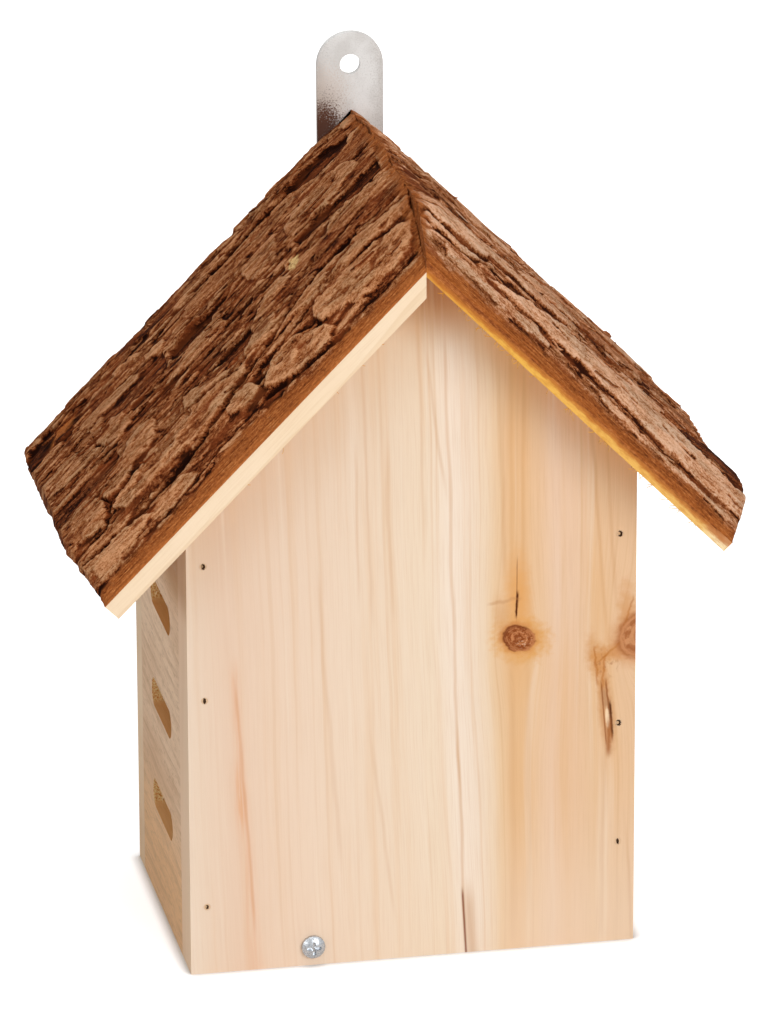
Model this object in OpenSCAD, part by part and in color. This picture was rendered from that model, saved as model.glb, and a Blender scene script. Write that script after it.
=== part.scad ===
// Ladybird house: a nailed pine box with slotted side walls, a floor that swings open on two
// screws, a bark-faced gable roof and a steel plate to hang it by.
// Millimetres. +X is to the right as the front is seen, -Y is the front and +Z is up.
// The origin is in the middle of the floor's underside, on the ground.

/* [Body] */
// Width of the box across its front
body_w = 134; // [112:1:150]
// Depth of the box from the front panel's face to the back panel's face
body_d = 93; // [84:1:110]
// Thickness of the front panel
front_t = 15; // [10:0.5:18]
// Thickness of the back panel
back_t = 10; // [8:0.5:14]
// Thickness of each side wall
wall_t = 10; // [8:0.5:12]
// Height of the gable's peak above the ground
peak_h = 216.3; // [205:0.1:235]
// How far the peak sits to the right of the middle
peak_x = 3.2; // [-4:0.1:4]

/* [Roof] */
// Slope of the left roof board, in degrees from level
left_pitch = 45.2; // [43:0.1:47]
// Slope of the right roof board, in degrees from level
right_pitch = 45.6; // [43:0.1:47]
// Length of the left board along its underside, from the ridge to the eave
left_slope = 128; // [115:1:140]
// Length of the right board along its underside, from the ridge to the eave
right_slope = 126; // [115:1:140]
// How far the roof stands out in front of the front panel
front_eave = 21; // [12:1:30]
// Thickness of the sawn wood under the bark of the left board
left_board_t = 5.5; // [4:0.1:7]
// Thickness of the sawn wood under the bark of the right board
right_board_t = 3.5; // [3:0.1:6]
// Height of the left board's bark above its underside, at the thickest
left_crown = 19.5; // [17:0.1:23]
// Height of the right board's bark above its underside, at the thickest
right_crown = 18; // [16.5:0.1:20]
// Radius of the log that the roof boards were sawn from
log_r = 350; // [220:5:500]
// Width of the thinned bark along the left board's front edge
left_wane_w = 32; // [20:1:40]
// Width of the thinned bark along the right board's front edge
right_wane_w = 22; // [16:1:40]
// How far the bark's main plates stand out of the bark round them
plate_rise = 1.1; // [0.6:0.1:1.6]
// Depth of the bark's hollows and cracks under the bark round them
hollow_drop = 1.9; // [1:0.1:2.5]
// Width of the bark's cracks
crack_w = 1.8; // [1:0.1:3]
// Size of the chamfer on the left bark's end at the eave
left_eave_chamfer = 4; // [1:0.5:6]
// Size of the chamfer on the right bark's end at the eave
right_eave_chamfer = 1; // [1:0.5:6]
// How far the left bark stands above the right bark at the ridge
ridge_step = 2; // [0:0.5:3]
// Angle between the right bark's trimmed upper end and the slope of its board
ridge_ease = 15; // [8:1:20]

/* [Slots] */
// Number of slots in each side wall
slot_count = 3; // [1:1:3]
// Length of a slot from end to end
slot_l = 35; // [25:0.5:40]
// Height of a slot, which is also the diameter of its round ends
slot_h = 9; // [7:0.5:10]
// Height of the lowest slot's middle above the ground
slot_low_z = 33.6; // [30:0.1:40]
// Distance from one slot's middle to the next
slot_pitch = 32.8; // [26:0.1:36]
// Distance from the front panel's face to the middle of the slots
slot_back = 47.5; // [44:0.5:50]

/* [Floor] */
// Thickness of the floor board
floor_t = 12; // [10:0.5:14]
// Place of the floor's pivot from the middle of the box, to the left
pivot_off = 30.3; // [20:0.1:38]
// Gap that the swinging floor's corners keep to the side walls
swing_gap = 0.3; // [0.3:0.05:0.8]
// Gap between the floor and the front and back panels
floor_end_gap = 0.4; // [0.3:0.05:1]

/* [Hanger] */
// Width of the hanger plate
hanger_w = 20; // [16:0.5:25]
// Thickness of the hanger plate
hanger_t = 2; // [1.5:0.1:3]
// Height of the hanger plate's top above the gable's peak
hanger_rise = 42.9; // [38:0.1:60]
// How far the hanger plate reaches down the back panel from the gable's peak
hanger_drop = 67.1; // [60:0.1:90]
// Diameter of the hole that the house hangs by
hang_hole = 6.2; // [5:0.1:8]
// Distance from the plate's lower end to its lower screw
hanger_screw_low = 10; // [8:1:14]
// Distance between the plate's two screws
hanger_screw_pitch = 25; // [18:1:30]

/* [Fasteners] */
// Diameter of a nail's shank
nail_d = 1.2; // [1:0.1:1.6]
// Diameter of a nail's head
nail_head_d = 2; // [1.8:0.1:2.8]
// Thickness of a nail's head
nail_head_t = 0.6; // [0.4:0.1:1]
// Length of a nail
nail_l = 25; // [22:1:28]
// Heights of the nails down the left of the front and back panels
left_nail_z = [21.3, 86.6, 128.4]; // [10:0.1:132]
// Heights of the nails down the right of the front and back panels
right_nail_z = [31.9, 69.8, 129.4]; // [10:0.1:132]
// Places of the roof nails down the slope from the ridge
roof_nail_s = [30, 74]; // [24:1:78]
// Length of a roof nail
roof_nail_l = 36; // [32:1:40]
// Height above a board's underside at which a roof nail's head is sunk in the bark
roof_nail_seat = 12; // [10:0.5:13]
// Diameter of a screw's shank
screw_d = 3.5; // [3:0.1:4]
// Diameter of a screw's head
screw_head_d = 7; // [6:0.1:8]
// Height of a screw's head
screw_head_h = 2.4; // [2:0.1:3]
// Length of a pivot screw under its head
pivot_screw_l = 30; // [26:1:34]
// Length of a hanger screw under its head
hanger_screw_l = 11; // [9:0.5:11.5]

/* [Wood wool] */
// Height of the filling's crown above the ground
wool_top = 126; // [118:1:135]
// Rise of the filling's crown over its shoulders
wool_crown = 8; // [4:1:12]
// Space left between the filling and each side wall
wool_side_gap = 7; // [6:0.5:10]

/* [Hidden] */
$fn = 48;

// Clearances
fit_gap = 0.05;
head_gap = 0.1;
soft_gap = 0.3;
screw_hole_gap = 0.3;
cut = 0.5;
reach = 400;

// Places of the faces
half_w = body_w / 2;
inner_x = half_w - wall_t;
front_y = -body_d / 2;
back_y = body_d / 2;
inner_front_y = front_y + front_t;
inner_back_y = back_y - back_t;
inner_d = inner_back_y - inner_front_y;
slot_y = front_y + slot_back;
roof_front_y = front_y - front_eave;
roof_d = back_y - roof_front_y;

// Heights on the hanger plate
hanger_l = hanger_rise + hanger_drop;
hanger_top = peak_h + hanger_rise;
hanger_hole_z = hanger_top - hanger_w / 2;
hanger_bottom = peak_h - hanger_drop;

// Swinging floor, whose corners clear the walls as it turns about the pivot
pivot_x = -pivot_off;
pivot_z = floor_t / 2;
short_side = pivot_x + inner_x;
long_side = inner_x - pivot_x;
short_arm = sqrt(pow(short_side - swing_gap, 2) - pow(pivot_z, 2));
long_arm = sqrt(pow(long_side - swing_gap, 2) - pow(pivot_z, 2));
floor_d = inner_d - 2 * floor_end_gap;
swing_r = short_side - swing_gap;

// Height of each roof board's underside at a place across the box
function left_under(x) = peak_h - (peak_x - x) * tan(left_pitch);
function right_under(x) = peak_h - (x - peak_x) * tan(right_pitch);

// Height of the right bark above its underside at the ridge, a step below the left bark's top
ridge_z = left_under(0) + left_crown / cos(left_pitch);
right_ridge_n = (ridge_z - ridge_step - right_under(0)) * cos(right_pitch);

// Bark height across a board, from its front edge back: a log's arc with a thinned front edge
crown_u = roof_d * 0.53;
bark_edge_t = 1;
function arc_n(u, crown) = crown - pow(u - crown_u, 2) / (2 * log_r);
function wane_n(u, crown, edge_n, wane_w) =
    edge_n + (arc_n(wane_w, crown) - edge_n) * sin(90 * u / wane_w);
function bark_n(u, crown, edge_n, wane_w) =
    u < wane_w ? wane_n(u, crown, edge_n, wane_w) : arc_n(u, crown);

// The bark's outline across a board, at a depth under the tops of its plates
bark_steps = 16;
function bark_outline(crown, board_t, wane_w, down) = concat(
    [[0, board_t]],
    [for (i = [0 : bark_steps])
        let (u = roof_d * i / bark_steps, edge_n = board_t + bark_edge_t)
        [u, max(edge_n, bark_n(u, crown, edge_n, wane_w) - down)]],
    [[roof_d, board_t]]);

// The main forms of the bark, seen square to a board. Each corner is [down the slope from the
// ridge, back from the front edge], on a roof of the size given here
drawn_slope = 127;
drawn_d = 114;
left_plates = [
    [[-13, 15], [-6, 19], [12, 21], [26, 21.5], [28, 17], [20, 11.5], [0, 8], [-9, 10]],
    [[24, 9.5], [31, 15], [37, 18], [46, 17.5], [51, 11.5], [42, 8], [28, 7]],
    [[-17, 26], [-4, 29], [14, 30], [26, 29], [36, 25], [22, 22.5], [0, 22], [-14, 20.5]],
    [[35, 36], [44, 36], [50, 30], [50, 26], [38, 29]],
    [[56, 29], [64, 35], [70, 40], [74, 39], [73, 33], [62, 27.5]],
    [[53, 24], [60, 28], [72, 30.5], [88, 29], [104, 25], [109, 21], [104, 18.6], [84, 18.3], [62, 20]],
    [[84, 45], [92, 47.5], [99, 40], [109, 36.5], [107, 29], [99, 29], [94, 33], [85, 37]],
    [[110, 38], [124, 38.5], [124, 27], [117, 20.5], [111, 24]],
    [[100, 10.5], [106, 13.3], [124, 14], [124, 6], [112, 6]],
    [[-16, 49], [0, 52], [9, 50], [9, 44], [0, 41], [-15, 41.5]],
    [[27, 45], [31, 50.5], [38, 45], [41, 42], [30, 42]],
    [[51, 66], [66, 64], [76, 57], [66, 54], [52, 55]],
    [[90, 62], [94, 70], [103, 72], [104, 60], [97, 55]],
    [[106, 62], [109, 72], [124, 71], [124, 60], [112, 57.5]],
    [[-9, 72], [-4, 79], [8, 81], [20, 78], [20, 65], [10, 64], [-4, 66]],
    [[25, 77], [33, 80], [39, 77], [36, 63], [27, 63]],
    [[12, 93], [48, 94], [62, 90], [60, 84], [28, 84], [12, 88]],
    [[74, 100], [90, 104], [102, 98], [92, 88], [76, 92]]];
left_hollows = [
    [[-14, 61], [0, 62.5], [19, 62.5], [20, 57], [6, 54], [-8, 51], [-14, 53]],
    [[-12, 101], [12, 100], [48, 99], [49, 96], [12, 95], [4, 90], [-8, 91]],
    [[40, 76], [70, 76], [71, 67.5], [54, 66.8], [48, 71]],
    [[45, 40], [58, 40.5], [61, 37], [48, 35]],
    [[27, 55.5], [37, 55], [52, 56], [52, 52.6], [36, 51.8], [27, 51.5]],
    [[2, 34], [20, 34.4], [22, 31.3], [4, 31.3]],
    [[99, 50], [130, 49], [130, 41.5], [104, 41]],
    [[80, 66.5], [88.5, 66], [88, 61], [80, 61]],
    [[106, 102], [116, 92], [130, 90], [130, 102], [118, 108]]];
left_cracks = [
    [[-25, 24], [0, 30.2], [20, 31], [41, 25.3], [61, 19], [81, 15.4], [99, 14], [130, 14.8]],
    [[54.8, 26], [70, 31.2], [80, 31.6], [97.7, 28.2], [104.3, 26.2], [109.4, 31.5]],
    [[108, 25.9], [114.3, 19.6], [130, 20.6]],
    [[22, 5.2], [38.5, 6.5], [53, 10]],
    [[38, 78.5], [50, 77.5], [73, 79]],
    [[66, 52.5], [78, 51.8], [104, 50.2]]];
right_plates = [
    [[-14, 14], [-6, 20], [10, 22], [15, 19], [14, 15], [-2, 13]],
    [[58, 18], [75, 20.5], [95, 18.8], [122, 15.5], [122, 9], [105, 7.5], [80, 9], [62, 11]],
    [[16, 11], [30, 15], [54, 17], [53, 10.5], [30, 9.5]],
    [[20, 25], [34, 30], [54, 32], [60, 29], [46, 24]],
    [[74, 28], [92, 27], [94, 22.5], [78, 21.5]],
    [[30, 46], [48, 54], [70, 53], [84, 47], [66, 43], [42, 42]],
    [[92, 46], [104, 52], [122, 50], [122, 38], [100, 38]],
    [[0, 66], [24, 72], [40, 68], [28, 62], [8, 61]],
    [[56, 74], [80, 80], [96, 74], [74, 66]],
    [[10, 90], [36, 97], [52, 90], [30, 83]],
    [[70, 98], [92, 103], [112, 96], [88, 89]]];
right_hollows = [
    [[96, 33], [130, 33], [130, 17.8], [97, 20.5]],
    [[0, 42], [12, 43], [13, 32], [0, 31]],
    [[68, 38], [88, 37], [88, 33], [70, 32.4]],
    [[28, 40.6], [60, 40.6], [60, 37], [30, 37]],
    [[44, 84], [68, 86], [70, 81], [48, 78]],
    [[98, 90], [118, 88], [116, 80], [100, 82]]];
right_cracks = [
    [[45, 8.5], [62, 8.6], [75, 7.7], [95, 6.4], [114, 6.2]],
    [[-16, 10], [10, 11.2], [16, 14.4]],
    [[16, 18.8], [46, 19.8], [56, 19.4]],
    [[-20, 25], [22, 31], [40, 33.6], [66, 31]],
    [[-10, 57], [56, 60], [130, 56]]];

// A form's corners on the roof as it is, and a crack's two sides from the line along its middle
function on_roof(corners, slope) =
    [for (c = corners) [c[0] * slope / drawn_slope, c[1] * roof_d / drawn_d]];
function crack_sides(line) = concat(
    [for (c = line) c - [0, crack_w / 2]],
    [for (i = [len(line) - 1 : -1 : 0]) line[i] + [0, crack_w / 2]]);

// Shared shapes

// A round-headed nail pointing down, with the top of its head at the origin; grow widens it
// for a bore, and rise carries the head's bore up
module nail(length, grow = 0, rise = 0) {
    translate([0, 0, -nail_head_t])
        cylinder(h = nail_head_t + rise, d = nail_head_d + 2 * grow);
    translate([0, 0, -length])
        cylinder(h = length - nail_head_t / 2, d = nail_d + 2 * grow);
}

// A pan-head screw pointing down, with the underside of its head at the origin
module screw(length) {
    rim_h = screw_head_h * 0.4;
    dome_h = screw_head_h - rim_h;
    dome_r = (pow(screw_head_d / 2, 2) + pow(dome_h, 2)) / (2 * dome_h);
    slot_w = screw_d * 0.26;
    translate([0, 0, -length])
        cylinder(h = length + rim_h / 2, d = screw_d);
    difference() {
        intersection() {
            cylinder(h = screw_head_h, d = screw_head_d);
            translate([0, 0, screw_head_h - dome_r])
                sphere(r = dome_r);
        }
        for (turn = [0, 90])
            rotate([0, 0, turn])
                translate([-screw_head_d * 0.3, -slot_w / 2, rim_h])
                    cube([screw_head_d * 0.6, slot_w, screw_head_h]);
    }
}

// Puts its children on a roof slope: X runs down the slope, Z stands square to it
module on_left_slope() {
    translate([0, 0, left_under(0)])
        mirror([1, 0, 0])
            rotate([0, left_pitch, 0])
                children();
}

module on_right_slope() {
    translate([0, 0, right_under(0)])
        rotate([0, right_pitch, 0])
            children();
}

// The four places of a slope's nails, over the middles of the front and back panels
module at_roof_nails() {
    for (s = roof_nail_s)
        for (y = [front_y + front_t / 2, back_y - back_t / 2])
            translate([s, y, roof_nail_seat])
                children();
}

// The places of the nails that hold the front or back panel on the side walls
module at_panel_nails(y, turn) {
    for (z = left_nail_z)
        translate([-half_w + wall_t / 2, y, z])
            rotate([turn, 0, 0])
                children();
    for (z = right_nail_z)
        translate([half_w - wall_t / 2, y, z])
            rotate([turn, 0, 0])
                children();
}

// An outline in X and Z, carried back from y for a depth
module slab(y, depth) {
    translate([0, y + depth, 0])
        rotate([90, 0, 0])
            linear_extrude(height = depth)
                children();
}

// Panels and walls

module gable_outline() {
    polygon([[-half_w, 0], [half_w, 0], [half_w, right_under(half_w)], [peak_x, peak_h],
        [-half_w, left_under(-half_w)]]);
}

module roof_nail_bores() {
    on_left_slope() at_roof_nails() nail(roof_nail_l, fit_gap, reach);
    on_right_slope() at_roof_nails() nail(roof_nail_l, fit_gap, reach);
}

// The holes of the two pivot screws, through the front and back panels and into the floor
module pivot_bores() {
    for (end = [-1, 1])
        translate([pivot_x, end * body_d / 2, pivot_z])
            rotate([end * 90, 0, 0])
                translate([0, 0, -cut])
                    cylinder(h = pivot_screw_l + 2 * cut, d = screw_d + 2 * fit_gap);
}

module front_panel() {
    color("burlywood")
        difference() {
            slab(front_y, front_t) gable_outline();
            at_panel_nails(front_y, 90) nail(nail_l, fit_gap, cut);
            roof_nail_bores();
            pivot_bores();
        }
}

module back_panel() {
    color("burlywood")
        difference() {
            slab(inner_back_y, back_t) gable_outline();
            at_panel_nails(back_y, -90) nail(nail_l, fit_gap, cut);
            roof_nail_bores();
            pivot_bores();
            at_hanger_screws() cylinder(h = hanger_screw_l * 2, d = screw_d + 2 * fit_gap, center = true);
        }
}

// One slot, cut across a side wall, with round ends
module slot() {
    for (end = [-1, 1])
        translate([0, end * (slot_l - slot_h) / 2, 0])
            rotate([0, 90, 0])
                cylinder(h = wall_t + 2 * cut, d = slot_h, center = true);
    cube([wall_t + 2 * cut, slot_l - slot_h, slot_h], center = true);
}

module side_wall(side, outer_top, inner_top) {
    difference() {
        slab(inner_front_y, inner_d)
            polygon([[side * half_w, 0], [side * inner_x, 0], [side * inner_x, inner_top],
                [side * half_w, outer_top]]);
        for (i = [0 : slot_count - 1])
            translate([side * (half_w - wall_t / 2), slot_y, slot_low_z + i * slot_pitch])
                slot();
        at_panel_nails(front_y, 90) nail(nail_l, fit_gap);
        at_panel_nails(back_y, -90) nail(nail_l, fit_gap);
    }
}

module left_wall() {
    color("tan") side_wall(-1, left_under(-half_w), left_under(-inner_x));
}

module right_wall() {
    color("tan") side_wall(1, right_under(half_w), right_under(inner_x));
}

module floor_board() {
    color("peru")
        difference() {
            translate([pivot_x - short_arm, inner_front_y + floor_end_gap, 0])
                cube([short_arm + long_arm, floor_d, floor_t]);
            pivot_bores();
        }
}

// Roof

// A board's outline down the slope: its upper end is cut plumb at the ridge, its lower end square
module board_outline(slope, pitch, board_t) {
    polygon([[0, 0], [slope, 0], [slope, board_t], [-board_t * tan(pitch), board_t]]);
}

// An outline across a board, carried down the slope from past the ridge to the eave
module along_slope(slope, crown) {
    translate([-2 * crown, roof_front_y, 0])
        rotate([90, 0, 90])
            linear_extrude(height = slope + 2 * crown)
                children();
}

// Forms that stand square to a board, each from its corners
module forms(list, slope, crown) {
    for (corners = list)
        translate([0, roof_front_y, 0])
            linear_extrude(height = crown + cut)
                polygon(on_roof(corners, slope));
}

// A board's bark with its plates, and with its hollows and cracks cut down to one depth
module bark_relief(slope, crown, board_t, wane_w, plates, hollows) {
    low = plate_rise + hollow_drop;
    difference() {
        union() {
            along_slope(slope, crown) polygon(bark_outline(crown, board_t, wane_w, plate_rise));
            intersection() {
                along_slope(slope, crown) polygon(bark_outline(crown, board_t, wane_w, 0));
                forms(plates, slope, crown);
            }
        }
        difference() {
            forms(hollows, slope, crown);
            along_slope(slope, crown) polygon(bark_outline(crown, board_t, wane_w, low));
        }
    }
}

// A board's bark, its relief as a child, before it is cut plumb at the ridge: it is trimmed to
// ridge_n at the ridge, and has a chamfered end at the eave
module bark_layer(slope, crown, ridge_n, pitch, chamfer) {
    difference() {
        children();
        translate([slope - chamfer, roof_front_y - cut, crown])
            rotate([0, 45, 0])
                cube([reach, roof_d + 2 * cut, reach]);
        translate([-ridge_n * tan(pitch), roof_front_y - cut, ridge_n])
            rotate([0, -ridge_ease, 0])
                translate([-reach, 0, 0])
                    cube([2 * reach, roof_d + 2 * cut, reach]);
        at_roof_nails() nail(roof_nail_l, fit_gap, reach);
    }
}

// Everything on the other side of the ridge's plumb cut
module beyond_ridge(side) {
    translate([side < 0 ? 0 : -reach, roof_front_y - cut, 0])
        cube([reach, roof_d + 2 * cut, reach]);
}

module left_roof_board() {
    color("wheat")
        difference() {
            on_left_slope()
                slab(roof_front_y, roof_d) board_outline(left_slope, left_pitch, left_board_t);
            on_left_slope() at_roof_nails() nail(roof_nail_l, fit_gap);
        }
}

module right_roof_board() {
    color("wheat")
        difference() {
            on_right_slope()
                slab(roof_front_y, roof_d) board_outline(right_slope, right_pitch, right_board_t);
            on_right_slope() at_roof_nails() nail(roof_nail_l, fit_gap);
        }
}

module left_roof_bark() {
    color("saddlebrown")
        difference() {
            on_left_slope()
                bark_layer(left_slope, left_crown, left_crown, left_pitch, left_eave_chamfer)
                    bark_relief(left_slope, left_crown, left_board_t, left_wane_w, left_plates,
                        concat(left_hollows, [for (line = left_cracks) crack_sides(line)]));
            beyond_ridge(-1);
        }
}

module right_roof_bark() {
    color("sienna")
        difference() {
            on_right_slope()
                bark_layer(right_slope, right_crown, right_ridge_n, right_pitch, right_eave_chamfer)
                    bark_relief(right_slope, right_crown, right_board_t, right_wane_w, right_plates,
                        concat(right_hollows, [for (line = right_cracks) crack_sides(line)]));
            beyond_ridge(1);
        }
}

// Hanger

// The plate's screws point into the back panel from behind
module at_hanger_screws() {
    for (i = [0, 1])
        translate([0, back_y + hanger_t, hanger_bottom + hanger_screw_low + i * hanger_screw_pitch])
            rotate([-90, 0, 0])
                children();
}

module hanger_plate() {
    color("silver")
        difference() {
            slab(back_y, hanger_t)
                union() {
                    for (z = [hanger_bottom + hanger_w / 2, hanger_hole_z])
                        translate([0, z])
                            circle(d = hanger_w);
                    translate([-hanger_w / 2, hanger_bottom + hanger_w / 2])
                        square([hanger_w, hanger_l - hanger_w]);
                }
            translate([0, back_y - cut, hanger_hole_z])
                rotate([-90, 0, 0])
                    cylinder(h = hanger_t + 2 * cut, d = hang_hole);
            at_hanger_screws()
                cylinder(h = 4 * hanger_t, d = screw_d + 2 * screw_hole_gap, center = true);
        }
}

module hanger_screws() {
    color("gainsboro") at_hanger_screws() screw(hanger_screw_l);
}

module front_pivot_screw() {
    color("gainsboro")
        translate([pivot_x, front_y - head_gap, pivot_z])
            rotate([90, 0, 0])
                screw(pivot_screw_l);
}

module back_pivot_screw() {
    color("gainsboro")
        translate([pivot_x, back_y + head_gap, pivot_z])
            rotate([-90, 0, 0])
                screw(pivot_screw_l);
}

// Nails

module front_nails() {
    color("dimgray") at_panel_nails(front_y, 90) nail(nail_l);
}

module back_nails() {
    color("dimgray") at_panel_nails(back_y, -90) nail(nail_l);
}

module left_roof_nails() {
    color("dimgray") on_left_slope() at_roof_nails() nail(roof_nail_l);
}

module right_roof_nails() {
    color("dimgray") on_right_slope() at_roof_nails() nail(roof_nail_l);
}

// Wood wool: it lies on the floor's long side, keeps off the walls so that the slots stay open,
// and is cut away at the lower left, where the floor's short side swings up

module wood_wool() {
    right_x = inner_x - wool_side_gap;
    left_x = -right_x;
    step_x = pivot_x + pivot_z + soft_gap + cut;
    step_z = pivot_z + swing_r + soft_gap + cut;
    low_z = floor_t + soft_gap;
    shoulder_z = wool_top - wool_crown;
    color("khaki")
        slab(inner_front_y + soft_gap, inner_d - 2 * soft_gap)
            polygon(concat(
                [[step_x, low_z], [right_x, low_z]],
                [for (i = [0 : 8])
                    let (x = right_x + (left_x - right_x) * i / 8)
                    [x, shoulder_z + wool_crown * sin(180 * i / 8)]],
                [[left_x, step_z], [step_x, step_z]]));
}

front_panel();
back_panel();
left_wall();
right_wall();
floor_board();
left_roof_board();
right_roof_board();
left_roof_bark();
right_roof_bark();
hanger_plate();
hanger_screws();
front_pivot_screw();
back_pivot_screw();
front_nails();
back_nails();
left_roof_nails();
right_roof_nails();
wood_wool();
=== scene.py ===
import itertools
import math

import bmesh
import bpy
import numpy as np
from mathutils import Matrix, Vector


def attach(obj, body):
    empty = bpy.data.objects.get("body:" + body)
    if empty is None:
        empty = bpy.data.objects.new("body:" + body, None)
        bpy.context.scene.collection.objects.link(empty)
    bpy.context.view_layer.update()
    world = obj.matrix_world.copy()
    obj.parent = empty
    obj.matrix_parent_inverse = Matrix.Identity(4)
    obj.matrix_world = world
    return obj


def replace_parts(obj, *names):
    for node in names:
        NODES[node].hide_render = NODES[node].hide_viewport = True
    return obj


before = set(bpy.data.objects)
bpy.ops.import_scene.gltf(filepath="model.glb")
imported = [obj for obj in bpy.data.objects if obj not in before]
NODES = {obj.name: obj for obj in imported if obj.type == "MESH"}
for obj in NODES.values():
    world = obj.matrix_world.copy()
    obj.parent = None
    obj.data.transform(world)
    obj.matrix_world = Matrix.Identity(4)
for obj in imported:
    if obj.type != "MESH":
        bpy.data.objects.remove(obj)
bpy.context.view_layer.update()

MM = 0.001
HALF_W = 67.0
# Slots in the side walls: a straight run with a round end on each side
SLOT_HEIGHTS, SLOT_MIDDLE_Y, SLOT_HALF_RUN, SLOT_END_R = (33.6, 66.4, 99.2), 1.0, 13.0, 4.5

# The roof: its two slopes meet over the front panel's peak
PEAK_X, PEAK_H = 3.2, 216.3
ROOF_D, ROOF_FRONT = 114.0, -67.5
ROOF_NAIL_S, ROOF_NAIL_U, ROOF_NAIL_TOP = (30, 74), (28.5, 109.0), 12.02
SIDES = {
    -1: dict(name="left", pitch=math.radians(45.2), slope=128.0, board=5.5, crown=19.5,
             wane=32.0, chamfer=4.0, widest=101.2, seed=11),
    1: dict(name="right", pitch=math.radians(45.6), slope=126.0, board=3.5, crown=18.0,
            wane=22.0, chamfer=1.0, widest=100.2, seed=47),
}
for side, roof in SIDES.items():
    for key, of_angle in (("sin", math.sin), ("cos", math.cos), ("tan", math.tan)):
        roof[key] = of_angle(roof["pitch"])
    roof["ridge_z"] = PEAK_H + side * PEAK_X * roof["tan"]


# Helpers for materials


def rgb(r, g, b):
    """A colour given in steps of 0 to 255, as the linear numbers that a shader takes."""
    return tuple(c / 12.92 if c <= 0.04045 else ((c + 0.055) / 1.055) ** 2.4
                 for c in (r / 255, g / 255, b / 255))


class Val:
    """A socket of a node tree that takes part in ordinary arithmetic, one Math node a step."""

    def __init__(self, tree, socket):
        self.tree, self.socket = tree, socket

    def math(self, operation, *values, clamp=False):
        node = self.tree.nodes.new("ShaderNodeMath")
        node.operation, node.use_clamp = operation, clamp
        for socket, value in zip(node.inputs, values):
            plug(self.tree, socket, value)
        return Val(self.tree, node.outputs[0])

    def __add__(self, other):
        return self.math("ADD", self, other)

    def __radd__(self, other):
        return self.math("ADD", other, self)

    def __sub__(self, other):
        return self.math("SUBTRACT", self, other)

    def __rsub__(self, other):
        return self.math("SUBTRACT", other, self)

    def __mul__(self, other):
        return self.math("MULTIPLY", self, other)

    def __rmul__(self, other):
        return self.math("MULTIPLY", other, self)

    def __truediv__(self, other):
        return self.math("DIVIDE", self, other)

    def abs(self):
        return self.math("ABSOLUTE", self)

    def sqrt(self):
        return self.math("SQRT", self)

    def fract(self):
        return self.math("FRACT", self)

    def clamp(self):
        return self.math("ADD", self, 0.0, clamp=True)


def plug(tree, socket, value):
    """Links a Val to a socket, or sets the socket to a number or a colour."""
    if isinstance(value, Val):
        tree.links.new(value.socket, socket)
    elif isinstance(value, tuple):
        socket.default_value = (*value, 1.0)
    else:
        socket.default_value = value


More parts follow.
